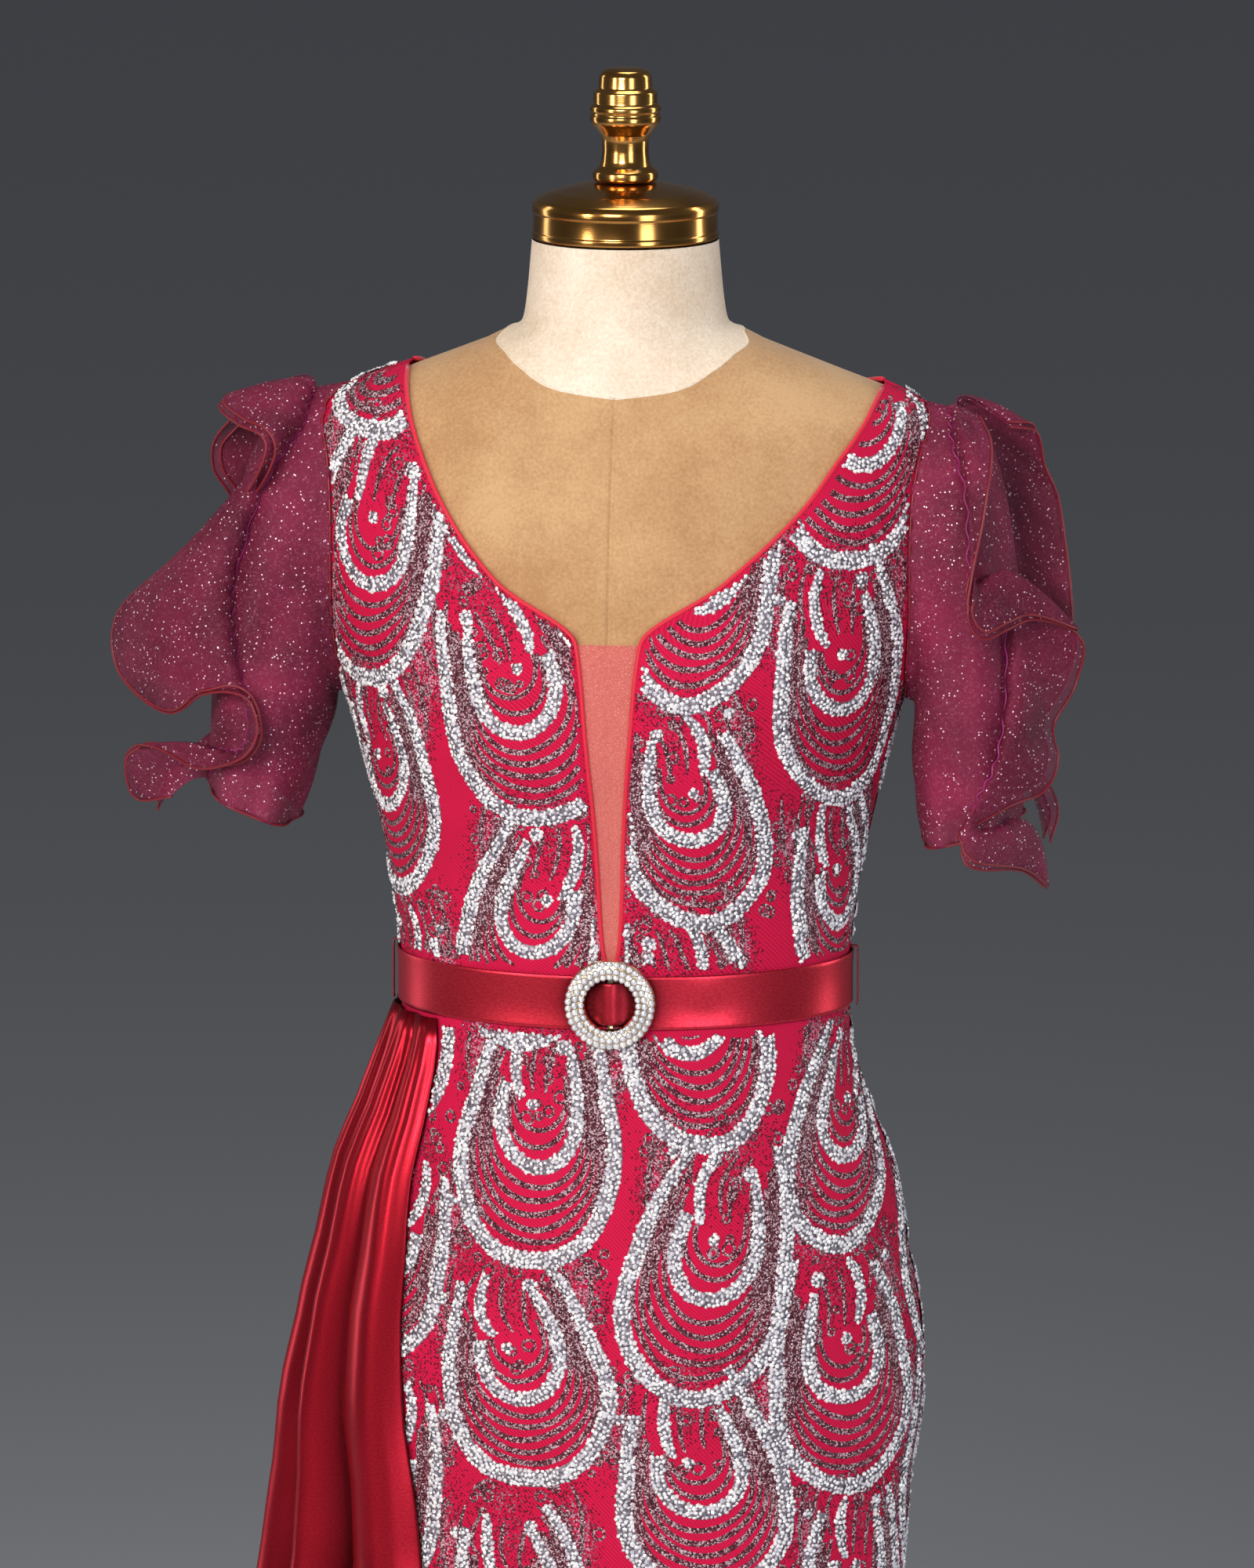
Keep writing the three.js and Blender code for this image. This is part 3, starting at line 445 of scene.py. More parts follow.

# %% [markdown]
# Organza is a stiff, sheer plain weave. The sleeves use a burgundy one with pink
# glitter printed over it. One layer lets the form show through, two layers nearly
# close it, so the cloth is a see-through shader and the layers do the rest. The
# glitter has two sizes: dust in cells of about 1 mm, which only tints the cloth, and
# dots about 1 mm wide of real glitter, painted near white and opaque as painted glints.
# The dots sit in cells of 2.3 mm, and nearly four cells in ten have one.


# %% Glitter organza
def glitter_organza(name, low, high, cover):
    material, tree, output = new_material(name)
    place = add_node(tree, "ShaderNodeTexCoord")
    cloud = add_node(tree, NOISE, {"Vector": place.outputs["Object"], "Scale": 26.0, "Detail": 2.0})
    ground = add_node(tree, RAMP, {"Fac": cloud.outputs[0]}, {0.3: low, 0.72: high})
    dust = add_node(tree, CELLS, {"Vector": place.outputs["Object"], "Scale": 950.0})
    dust_share = add_node(tree, RANGE, {
        "Value": dust.outputs["Color"], "From Min": 0.6, "From Max": 0.9, "To Max": 0.22,
    })
    dusted = add_node(tree, MIX, {
        "Fac": dust_share.outputs[0], "Color1": ground.outputs[0], "Color2": linear("#E07AA0"),
    })
    # Painted highlight: the glitter dots are painted near white and opaque as glints of the flakes.
    grit = add_node(tree, CELLS, {"Vector": place.outputs["Object"], "Scale": 430.0})
    picked = add_node(tree, MATH, {0: grit.outputs["Color"], 1: 0.62}, operation="GREATER_THAN")
    small = add_node(tree, MATH, {0: grit.outputs["Distance"], 1: 0.21}, operation="LESS_THAN")
    glint = add_node(tree, MATH, {0: picked.outputs[0], 1: small.outputs[0]}, operation="MULTIPLY")
    colour = add_node(tree, MIX, {
        "Fac": glint.outputs[0], "Color1": dusted.outputs[0], "Color2": linear("#F4DCE8"),
    })
    alpha = add_node(tree, RANGE, {"Value": glint.outputs[0], "To Min": cover, "To Max": 1.0})
    rough = add_node(tree, RANGE, {"Value": glint.outputs[0], "To Min": 0.75, "To Max": 0.25})
    shader = add_node(tree, SHADER, {
        "Base Color": colour.outputs[0], "Roughness": rough.outputs[0], "Alpha": alpha.outputs[0],
    })
    tree.links.new(shader.outputs[0], output.inputs["Surface"])
    return material


organza = glitter_organza("burgundy_glitter_organza", "#6A0A30", "#981A4A", 0.64)
flounce_organza = glitter_organza("single_glitter_organza", "#6A0A30", "#921C48", 0.44)

# %% [markdown]
# The flounces end in a corded edge, a rolled hem over fishing line, which holds the
# waves open. It is opaque, because there the cloth is folded over itself, and they
# are sewn on with a magenta thread. The neck edge is a narrow binding of the plain
# lining knit, brighter than the rest, and the inset is soft plain tulle, through
# which the velvet form shows as salmon pink.

# %% Corded edge, seam thread, neck binding, tulle
corded_edge = toned_material(
    "rolled_organza_edge", (NOISE, 0, {"Scale": 420.0, "Detail": 2.0}), {0: "#6A1020", 1: "#94202E"},
    {"Roughness": 0.45}, (0, 0.4, 0.0004),
)
seam_thread = toned_material(
    "magenta_seam_thread", (NOISE, 0, {"Scale": 700.0}), {0: "#7A0E4A", 1: "#B02080"}, {"Roughness": 0.5},
)
neck_binding = toned_material(
    "scarlet_knit_binding", (NOISE, 0, {"Scale": 900.0}), {0: "#CC0E2C", 1: "#F01E40"},
    {"Roughness": 0.6, "Sheen Weight": 0.2}, (0, 0.3, 0.0003),
)

sheer_tulle, tree, output = new_material("sheer_red_tulle")
cloth = add_node(tree, "ShaderNodeUVMap", uv_map="cloth")
mesh_holes = add_node(tree, CELLS, {"Vector": cloth.outputs[0], "Scale": 800.0}, feature="DISTANCE_TO_EDGE")
tone = add_node(tree, RAMP, {"Fac": mesh_holes.outputs[0]}, {0: "#F0686A", 0.4: "#FFA8A0"})
shader = add_node(tree, SHADER, {"Base Color": tone.outputs[0], "Roughness": 0.8, "Alpha": 0.4})
tree.links.new(shader.outputs[0], output.inputs["Surface"])
print("sheer cloths:", organza.name, sheer_tulle.name)

# %% [markdown]
# The form is covered in tan short-pile velvet. The neck's cover is the same velvet
# painted pale ivory: painted light for the strong light and sheen on the neck. Pile
# scatters light back at its edges, which is what sheen does, and a hand that strokes
# it leaves lighter and darker patches, so broad soft noise and a fine pile grain lie
# over the colour.


# %% Velvet
def velvet(name, low, high):
    material, tree, output = new_material(name)
    place = add_node(tree, "ShaderNodeTexCoord")
    stroked = add_node(tree, NOISE, {
        "Vector": place.outputs["Object"], "Scale": 13.0, "Detail": 5.0, "Roughness": 0.62,
    })
    pile = add_node(tree, NOISE, {"Vector": place.outputs["Object"], "Scale": 520.0, "Detail": 2.0})
    both = add_node(tree, MIX, {"Fac": 0.35, "Color1": stroked.outputs[0], "Color2": pile.outputs[0]})
    tone = add_node(tree, RAMP, {"Fac": both.outputs[0]}, {0.38: low, 0.62: high})
    bump = add_node(tree, BUMP, {"Height": pile.outputs[0], "Strength": 0.35, "Distance": 0.0005})
    shader = add_node(tree, SHADER, {
        "Base Color": tone.outputs[0], "Normal": bump.outputs[0], "Roughness": 0.9,
        "Sheen Weight": 0.12, "Sheen Roughness": 0.35,
    })
    tree.links.new(shader.outputs[0], output.inputs["Surface"])
    return material


tan_velvet = velvet("tan_pile_velvet", "#B4885C", "#D0A87A")
# Painted light: the neck's velvet is the torso's tan painted pale ivory, for the strong light and sheen on
# the neck.
painted_light_velvet = velvet("painted_light_pile_velvet", "#DEC8AC", "#FBECD8")

# %% [markdown]
# Cap and finial are spun brass under clear lacquer: fully metallic, nearly mirror
# smooth, with faint turning lines round the axis. The buckle's stones are cut glass
# with a foil back, bright with sharp facets, in gilt cups. The stand is steel with
# satin black paint, slightly uneven as sprayed paint is.

# %% Brass, stones, cups, painted steel
brass, tree, output = new_material("lacquered_spun_brass")
place = add_node(tree, "ShaderNodeTexCoord")
smudge = add_node(tree, NOISE, {"Vector": place.outputs["Object"], "Scale": 34.0, "Detail": 3.0})
tone = add_node(tree, RAMP, {"Fac": smudge.outputs[0]}, {0: "#C0823C", 1: "#E4AC62"})
lines = add_node(tree, "ShaderNodeTexWave", {
    "Vector": place.outputs["Object"], "Scale": 300.0, "Distortion": 0.4,
}, bands_direction="Z")
rough = add_node(tree, RANGE, {"Value": smudge.outputs[0], "To Min": 0.1, "To Max": 0.24})
bump = add_node(tree, BUMP, {"Height": lines.outputs[0], "Strength": 0.05, "Distance": 0.0002})
shader = add_node(tree, SHADER, {
    "Base Color": tone.outputs[0], "Normal": bump.outputs[0], "Metallic": 1.0, "Roughness": rough.outputs[0],
})
tree.links.new(shader.outputs[0], output.inputs["Surface"])

cut_glass = toned_material(
    "foiled_cut_glass", (ISLAND, "Random Per Island", {}), {0: "#DADCE4", 1: "#FFFFFF"},
    {"Metallic": 0.35, "Roughness": 0.05, "Coat Weight": 1.0},
)
gilt = toned_material(
    "gilt_stone_cups", (NOISE, 0, {"Scale": 260.0}), {0: "#D8BC90", 1: "#F8E8CC"},
    {"Metallic": 1.0, "Roughness": 0.22},
)
black_paint = toned_material(
    "satin_black_painted_steel", (NOISE, 0, {"Scale": 300.0, "Detail": 2.0}), {0: "#161617", 1: "#242426"},
    {"Roughness": 0.42}, (0, 0.15, 0.0003),
)

for node_name, material in (("stand_base", black_paint), ("stand_pole", black_paint), ("buckle", gilt)):
    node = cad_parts[node_name]
    node.data.materials.clear()
    node.data.materials.append(material)
print("hard nodes painted")

# %% [markdown]
# The form is two velvet covers over one padded body, a torso cover and a neck cover,
# that meet in a seam which dips at the throat. Each cover is a grid whose edge row
# follows the seam, and a shallow groove runs down the front and the back of the torso
# where its halves are joined.

# %% Velvet covers of the form
NECK_SEAM = [  # degrees from the front, height
    (0, 1416.6), (14, 1421), (31, 1432), (50, 1440), (71, 1444), (90, 1448), (130, 1446), (180, 1442),
]
NECK_TOP = 1503
FORM_BOTTOM = 742
NOT_NEAR = 99
COVER_OUT = 0.15
GROOVE_DEPTH, GROOVE_HALF = 1.3, 1.4
EDGE_RISE, EDGE_HALF = 0.7, 2.0
BUNCHED = 0.46  # how far columns are drawn to the centre seams, in radians


def neck_seam(angle):
    degrees = np.abs(np.degrees(np.arctan2(np.sin(angle), np.cos(angle))))
    return smooth_column(NECK_SEAM, 1, degrees)


def form_cover(name, columns, heights_of, material):
    even = full_turn(columns)
    angle = even - BUNCHED * np.sin(2 * even)
    z = heights_of(angle)
    angle = angle[None, :]
    seam = neck_seam(angle)
    off_centre = np.where(z < seam, np.abs(body_point(angle, z)[..., 0]), NOT_NEAR)
    groove = -GROOVE_DEPTH * np.exp(-((off_centre / GROOVE_HALF) ** 2))
    edge = EDGE_RISE * np.exp(-(((z - seam) / EDGE_HALF) ** 2))
    points = outside(angle, z, COVER_OUT + groove + edge)
    return grid_piece(name, points, material, ring=True)


def torso_heights(angle):
    share = np.linspace(0, 1, 90)[:, None]
    return FORM_BOTTOM + 2 + (neck_seam(angle)[None, :] - FORM_BOTTOM - 2) * share**0.8


def neck_heights(angle):
    share = np.linspace(0, 1, 24)[:, None]
    return neck_seam(angle)[None, :] - 0.1 + (NECK_TOP - neck_seam(angle)[None, :] - 0.1) * share


torso_cover = form_cover("torso_velvet", 150, torso_heights, tan_velvet)
# The neck cover's pale ivory is painted light on the same tan velvet.
neck_cover = form_cover("neck_velvet", 120, neck_heights, painted_light_velvet)
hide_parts("form_torso")
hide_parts("form_torso")
print("velvet covers:", len(torso_cover.data.polygons) + len(neck_cover.data.polygons), "faces")

# %% [markdown]
# Cap and finial are turned on a lathe, so they are profiles spun round the axis: a
# short table of radius and height each. Small radii between the tiers are what makes
# turned brass sparkle, so every corner of a profile is rounded before it is spun.

# %% Turned brass
CAP_BASE = 1503.3
FINIAL_BASE = CAP_BASE + 34
CAP_PROFILE = [
    (0, 0), (54.2, 0), (55.3, 1.2), (55.3, 4.2), (54.7, 5), (54.7, 15.4), (55.3, 16.2), (55.3, 20),
    (53.6, 23.4), (44, 28), (30, 31.4), (20, 33), (0, 33.6),
]
FINIAL_PROFILE = [
    (0, 0), (18.4, 0), (19.4, 1.6), (19.2, 5.6), (15.6, 8.6), (14.3, 12), (13.7, 18), (14, 24),
    (15.4, 28), (19.8, 33.4), (21, 35.6), (21, 38.6), (20.3, 39.4), (20.3, 40.8), (21, 41.6), (21, 44.4),
    (18.9, 46), (18.9, 53), (16, 55), (15.5, 62.6), (13.6, 65.4), (9, 66.8), (0, 67),
]
LATHE_STEPS = 96


def rounded(profile, radius, steps=4):
    """Replace each inner corner of a profile by a short curve of a given reach."""
    corners = np.array(profile, float)
    line = [corners[0]]
    for before, corner, after in zip(corners[:-2], corners[1:-1], corners[2:]):
        back, ahead = before - corner, after - corner
        reach = min(radius, np.linalg.norm(back) * 0.45, np.linalg.norm(ahead) * 0.45)
        start = corner + back / np.linalg.norm(back) * reach
        end = corner + ahead / np.linalg.norm(ahead) * reach
        for t in np.linspace(0, 1, steps):
            line.append(bend(start, corner, end, t))
    line.append(corners[-1])
    return np.array(line)


def turned_piece(name, profile, base, radius, material, node):
    line = rounded(profile, radius)
    turn = full_turn(LATHE_STEPS)
    inner = line[1:-1]
    rings = np.stack([
        inner[:, :1] * np.sin(turn), -inner[:, :1] * np.cos(turn), base + inner[:, 1:] + 0 * turn,
    ], axis=-1)
    points = [(0, 0, base + line[0, 1])] + rings.reshape(-1, 3).tolist() + [(0, 0, base + line[-1, 1])]
    last = len(points) - 1
    faces = [tuple(k + 1 for k in face) for face in grid_faces(len(inner), LATHE_STEPS, ring=True)]
    for i in range(LATHE_STEPS):
        k = (i + 1) % LATHE_STEPS
        faces.append((0, 1 + k, 1 + i))
        faces.append((last, last - LATHE_STEPS + i, last - LATHE_STEPS + k))
    piece = new_piece(name, points, faces, material)
    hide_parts(node)
    return piece


cap = turned_piece("brass_cap", CAP_PROFILE, CAP_BASE, 1.2, brass, "neck_cap")
knob = turned_piece("brass_finial", FINIAL_PROFILE, FINIAL_BASE, 1.0, brass, "finial")
print("turned brass:", len(cap.data.polygons) + len(knob.data.polygons), "faces")

# %% [markdown]
# The gown fits closely, so its creases are few and soft: drag lines out from the
# bust, a slight ripple over the waist and the hip on each side, and slow waves where
# the skirt flares. One function gives how far the cloth stands out at any place, and
# the cloth, the embroidery and the edges all read it, so they stay together.

# %% Lie of the gown cloth
CLOTH_OUT = 3.6
CREASE_RADIUS = 130.0
CREASES = [  # degrees round, height, slope, half length, half width, height of the ridge
    (38, 1178, -0.55, 46, 7, 0.9), (-36, 1172, 0.6, 50, 8, 0.8), (62, 1105, 0.3, 34, 6, 1.0),
    (-66, 1110, -0.35, 38, 6, 0.9), (74, 1008, 0.2, 40, 8, 1.0), (24, 1002, -0.15, 42, 9, 0.7),
    (-20, 985, 0.2, 44, 9, 0.6), (50, 940, 0.3, 52, 10, 0.8), (12, 700, 0.9, 90, 14, 1.2),
    (-30, 640, -0.8, 100, 16, 1.4), (70, 610, 0.7, 90, 15, 1.3), (118, 1105, 0.25, 36, 6, 0.9),
    (-116, 1100, -0.3, 34, 6, 1.0), (160, 1060, 0.1, 50, 7, 0.9), (-150, 990, 0.2, 46, 8, 1.0),
    (140, 960, -0.3, 52, 9, 0.9), (-170, 700, 0.8, 100, 15, 1.3), (135, 620, -0.7, 90, 15, 1.4),
]
FLARE_WAVES = [  # waves round the hem, turn in degrees, height in mm at the hem
    (7, 20, 4.0), (11, 75, 2.0), (4, 140, 2.6),
]


def crease(angle, z):
    angle, z = np.broadcast_arrays(np.asarray(angle, float), np.asarray(z, float))
    lift = np.zeros(angle.shape)
    for degrees, height, slope, half_length, half_band, ridge in CREASES:
        across = np.arctan2(np.sin(angle - math.radians(degrees)), np.cos(angle - math.radians(degrees)))
        along = across * CREASE_RADIUS
        rise = z - height - slope * along
        lift = lift + ridge * np.exp(-((along / half_length) ** 2) - (rise / half_band) ** 2)
    low = np.clip((700 - z) / 690, 0, 1) ** 1.3
    for waves, turn, ridge in FLARE_WAVES:
        lift = lift + low * ridge * (0.5 + np.sin(waves * angle + math.radians(turn)))
    return lift


def cloth_point(angle, z, lift=0.0):
    """A place on the outer face of the gown, or lift millimetres above it."""
    return outside(angle, z, CLOTH_OUT + crease(angle, z) + lift)


# %% [markdown]
# The bodice has two fronts and two backs that run up into the shoulder straps. Each
# is a panel between an inner edge, at the centre and the neck, and an outer edge, at
# the side seam and the armhole. The same tables as in the CAD source give the edges.

# %% Edges of the bodice
WAIST = 1062
SEAM_GAP = 0.3
UNDERARM = 1235
NECK_DROP = 1278
ARMHOLE_HALF_DEPTH = 39
SEAM_TURN = 0.0022
INSET = [(1062, 0.15), (1080, 0.15), (1084, 2.6), (1099, 5.3), (1166, 8.5), (1221, 13)]  # height, x
NECK = {
    "right": [(1278, 18.8), (1312, 66), (1344, 93), (1372, 109), (1405, 122)],
    "left": [(1278, 18.8), (1312, 66), (1354, 111), (1380, 130), (1398, 143)],
}
BACK = [(1062, 0.15), (1330, 0.15), (1340, 42), (1366, 80), (1398, 106)]
SHOULDER = {"right": {"neck": 1425.5, "arm": 1409}, "left": {"neck": 1416, "arm": 1402}}
SIGN = {"right": -1, "left": 1}


def inner_edge(side, front, z):
    neck_z = SHOULDER[side]["neck"]
    rows = (INSET + NECK[side] if front else BACK) + [(neck_z, float(half_width(neck_z)))]
    angle = np.minimum(angle_at_x(smooth_column(rows, 1, z), z), QUARTER)
    return angle if front else math.pi - angle


def armhole_edge(side, front, part):
    top = SHOULDER[side]["arm"]
    z = (top + UNDERARM) / 2 - (top - UNDERARM) / 2 * np.cos(np.pi * part)
    y = (-1 if front else 1) * ARMHOLE_HALF_DEPTH * np.sin(np.pi * part)
    depth = np.interp(z, FINE_Z, FINE[1 if front else 2])
    return np.arccos(np.clip(-y / depth, -1, 1)), z


def inner_height(side, row):
    """row is 0 at the waist, 1 at the underarm, 1.25 at the V's point, 2 at the shoulder."""
    bottom = WAIST + SEAM_GAP / 2
    low = bottom + (UNDERARM - bottom) * np.clip(row, 0, 1)
    middle = (NECK_DROP - UNDERARM) * np.clip((row - 1) / 0.25, 0, 1)
    high = (SHOULDER[side]["neck"] - NECK_DROP) * (1 - (1 - np.clip((row - 1.25) / 0.75, 0, 1)) ** 2)
    return low + middle + high


def bodice_panel(side, front, rows=84, columns=38):
    row = np.linspace(0, 2, rows)
    inner_z = inner_height(side, row)
    seam = QUARTER - SEAM_TURN if front else QUARTER + SEAM_TURN
    limit = np.minimum if front else np.maximum
    arm_angle, arm_z = armhole_edge(side, front, np.clip(row - 1, 0, 1))
    outer_angle = np.where(row > 1, limit(arm_angle, seam), seam)
    outer_z = np.where(row > 1, arm_z, inner_z)
    inner_angle = limit(inner_edge(side, front, inner_z), seam)
    s = np.linspace(0, 1, columns)[None, :]
    angle = inner_angle[:, None] + (outer_angle - inner_angle)[:, None] * s
    z = inner_z[:, None] + (outer_z - inner_z)[:, None] * s
    if (SIGN[side] == 1) != front:
        angle, z = angle[:, ::-1], z[:, ::-1]
    return SIGN[side] * angle, z

# %% [markdown]
# Now the cloth itself is laid: four bodice panels and two skirt panels in the crimson
# tulle, and the narrow sheer inset between the fronts. Strewn glitter is a soft
# attribute of each point, filled in later, once the embroidery's layout is known.

# %% Gown cloth
PANELS = {}


def lay_panel(name, angle, z, node, flat, cut_area):
    points = cloth_point(angle, z)
    piece = grid_piece(name, points, crimson_tulle, wall=1.4)
    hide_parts(node)
    PANELS[name] = (piece, angle, z)
    return piece


BODICE_PARTS = (("front", True, (0.24, 0.38), 0.052), ("back", False, (0.23, 0.38), 0.058))
for side in ("right", "left"):
    for part, front, flat, area in BODICE_PARTS:
        angle, z = bodice_panel(side, front)
        lay_panel(f"bodice_{part}_{side}_cloth", angle, z, f"bodice_{part}_{side}", flat, area)

SKIRT_TOP = WAIST - SEAM_GAP / 2
HEM = 13
for part, middle, area in (("front", 0.0, 0.49), ("back", math.pi, 0.51)):
    s = np.linspace(-1, 1, 84)[None, :]
    t = np.linspace(0, 1, 96)[:, None]
    angle = middle + s * (QUARTER - SEAM_TURN) + 0 * t
    z = SKIRT_TOP - (SKIRT_TOP - HEM) * (1 - t) ** 1.2 + 0 * s
    lay_panel(f"skirt_{part}_cloth", angle, z, f"skirt_{part}", (0.84, 1.08), area)

t = np.linspace(0, 1, 60)[:, None]
z = 1084 + (NECK_DROP - 1084) * t + 0 * np.linspace(0, 1, 9)[None, :]
half = smooth_column(INSET + NECK["left"], 1, z) - SEAM_GAP
angle = angle_at_x(half * np.linspace(-1, 1, 9)[None, :], z)
inset = grid_piece("sheer_inset", outside(angle, z, 3.0), sheer_tulle, wall=0.9)
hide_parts("front_inset")
for name, (piece, _, _) in PANELS.items():
    print(name, len(piece.data.polygons), "quads")

# %% [markdown]
# The side drape is a pleated overskirt of satin, gathered into sharp pleats under
# the belt that open into soft cones below the hip. Each row of the table is a crest
# or a valley: its turn from the front at waist, thigh and hem, and how far the cloth
# stands off the skirt at the thigh and the hem. Its front edge turns up to four
# degrees further forward than the CAD solid's, and its valleys sink deeper.

# %% Satin side drape
DRAPE_TOP = 1043.8
DRAPE_THIGH = 709
DRAPE_HEM = 15
PLEATS = [  # crest, waist turn, thigh turn, hem turn, thigh lift, hem lift
    (0, 52, 41, 34, 8, 22), (1, 57, 49, 43, 9, 28), (0, 64, 64, 57, 13, 32), (1, 70, 72, 68, 22, 42),
    (0, 77, 81, 79, 31, 46), (1, 84, 90, 90, 38, 48), (0, 91, 101, 101, 38, 46), (1, 99, 111, 112, 36, 44),
    (0, 107, 121, 123, 30, 40), (1, 116, 131, 134, 26, 36), (0, 125, 141, 145, 20, 30),
    (1, 134, 151, 156, 14, 24), (0, 143, 161, 166, 8, 16), (1, 152, 170, 176, 4, 8),
]
DRAPE_FALL = [  # height, share of the lift, depth of a fold, share of the turn
    (709, 1, 14, 1), (772, 0.66, 13, 0.86), (819, 0.36, 12, 0.74), (865, 0.18, 11, 0.61),
    (953, 0.13, 8, 0.34), (1018, 0.12, 5.4, 0.11), (1043.8, 0, 2.9, 0),
]
HEM_FOLD = 26
DRAPE_OUT = 6.0


def pleat_value(column, place):
    i = np.minimum(np.floor(place).astype(int), len(PLEATS) - 2)
    t = place - i
    values = np.array([row[column] for row in PLEATS], float)
    value = values[i] + (values[i + 1] - values[i]) * t
    return value * np.sqrt(3 - 2 * value) if column == 0 else value


def drape_point(place, z):
    place, z = np.broadcast_arrays(place, z)
    crest = pleat_value(0, place)
    high = np.maximum(z, DRAPE_THIGH)
    lift_share, fold_depth, turn_share = [smooth_column(DRAPE_FALL, k, high) for k in (1, 2, 3)]
    waist, thigh = pleat_value(1, place), pleat_value(2, place)
    turn = waist + (thigh - waist) * turn_share
    lift = pleat_value(4, place) * lift_share
    fold = crest * fold_depth
    deeper = (1 - crest) * np.minimum(0.62 * pleat_value(4, place), 11) * lift_share
    upper_angle = -np.radians(turn)
    upper = outside(upper_angle, high, DRAPE_OUT + lift + fold - deeper)
    hem_angle = -np.radians(pleat_value(3, place))
    hem_z = np.full(z.shape, float(DRAPE_HEM))
    hem_lift = pleat_value(5, place)
    hem_out = DRAPE_OUT + hem_lift + crest * HEM_FOLD - (1 - crest) * np.minimum(0.45 * hem_lift, 12)
    hem = outside(hem_angle, hem_z, hem_out)
    share = (np.clip(DRAPE_THIGH - z, 0, None) / (DRAPE_THIGH - DRAPE_HEM))[..., None]
    return upper + (hem - upper) * share


place = np.linspace(len(PLEATS) - 1, 0, 236)[None, :]
t = np.linspace(0, 1, 56)[:, None]
z = DRAPE_HEM + (DRAPE_TOP - DRAPE_HEM) * t**0.85 + 0 * place
points = drape_point(place + 0 * t, z)
below_belt = np.clip((1010 - z) / 300, 0, 1)
slow = np.sin(place * 2.3 + z / 160) * np.sin(z / 97 + place) * below_belt * 1.1
gathers = 0.7 * np.sin(place * 12.6 + 0.9 * np.sin(place * 3))
gathers = gathers * np.clip((1043 - z) / 40, 0, 1) * np.clip((z - 880) / 150, 0.1, 1)
sideways = unit(np.cross(np.gradient(points, axis=1), np.gradient(points, axis=0)))
points = points + sideways * (slow + gathers)[..., None]
drape = grid_piece("satin_side_drape", points, drape_satin, wall=1.4)
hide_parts("side_drape")
print("drape quads:", len(drape.data.polygons))

# %% [markdown]
# The belt is a flat satin band, closed at the buckle: it narrows and rises over the
# buckle's bar. The loops that hold it at the side seams are narrow strips, bent over
# the belt's upper edge and down its face.

# %% Belt and loops
BELT_HALF = 16
BELT_OUTER = 5.9
BAR_LIFT = 3.5  # how far the band narrows and stands out over the buckle's bar


def belt_point(angle, rise):
    """rise runs from -1 at the lower edge to 1 at the upper edge."""
    angle, rise = np.broadcast_arrays(angle, rise)
    x = np.where(np.cos(angle) > 0, half_width(WAIST) * np.sin(angle), 200)
    half = BELT_HALF - BAR_LIFT * np.exp(-((x / 10) ** 2))
    out = BELT_OUTER + BAR_LIFT * np.exp(-((x / 6) ** 2)) + 0.5 * (1 - rise**2) * np.exp(-((x / 14) ** 2))
    slack = 0.5 * np.exp(-(((np.abs(angle) - 0.42) / 0.10) ** 2)) * np.sin(rise * 2.2)
    at_waist = body_point(angle, WAIST + 0 * angle)
    here = body_point(angle, WAIST + half * rise)
    base = outside(angle, WAIST + 0 * angle, out + slack)
    rounding = -0.5 * np.clip(np.abs(rise) * 16 - 15, 0, 1) ** 2
    return base + (here - at_waist) + body_normal(angle, WAIST + 0 * angle) * rounding[..., None]


turn = full_turn(200)
turn = turn - 0.75 * np.sin(turn)
rise = np.concatenate([[-1, -0.985, -0.95], np.linspace(-0.86, 0.86, 13), [0.95, 0.985, 1]])
points = belt_point(turn[None, :], rise[:, None])
belt = grid_piece("satin_belt", points, belt_satin_painted_light, wall=1.6, ring=True)
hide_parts("belt")

for side, name in ((-1, "right"), (1, "left")):
    top = WAIST + BELT_HALF + 0.8
    face = float(half_width(top)) + BELT_OUTER + 1.2
    rear = float(half_width(top)) + CLOTH_OUT + 0.3
    drop = 1044.6
    path = [(rear, top), (rear + 0.6, top + 0.7), (face, top + 0.8), (face + 0.7, top + 0.1)]
    path += [(face + 0.8, z) for z in (top - 4, *np.linspace(top - 9, drop + 1.5, 6))]
    path += [(face + 0.4, drop + 0.2)]
    rows = [[(side * x, y, z) for x, z in path] for y in np.linspace(-2.5, 2.5, 7) * side]
    loop = grid_piece(f"belt_loop_{name}_cloth", np.array(rows)[:, ::-1], corded_edge, wall=0.9)
    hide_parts(f"belt_loop_{name}")
print("belt quads:", len(belt.data.polygons))

# %% [markdown]
# A sleeve is a soft organza tube, sewn round the armhole with small gathers, and on
# it lie the flounces: bias strips sewn on along a line that winds down the sleeve,
# whose free edge is longer than the seam and so swings out in waves. The tube is a
# row of tilted ovals; a flounce is swept from its seam to its edge in a soft bow.

# %% Sleeve tubes
SLEEVE = {  # outer x and z, inner x and z, half depth, from the armhole down
    "right": [
        (189, 1409, 172, 1230, 46), (208, 1396, 174, 1219, 51), (224, 1366, 178, 1206, 55),
        (236, 1320, 183, 1192, 57), (243, 1268, 188, 1178, 57), (247, 1215, 193, 1164, 56),
        (249, 1175, 197, 1152, 54),
    ],
    "left": [
        (196, 1402, 172, 1229, 46), (212, 1388, 172, 1216, 51), (224, 1355, 171, 1202, 54),
        (231, 1308, 171, 1188, 56), (234, 1256, 173, 1174, 56), (235, 1204, 175, 1160, 55),
        (235, 1160, 178, 1145, 53),
    ],
}
ORGANZA_WALL = 1.2


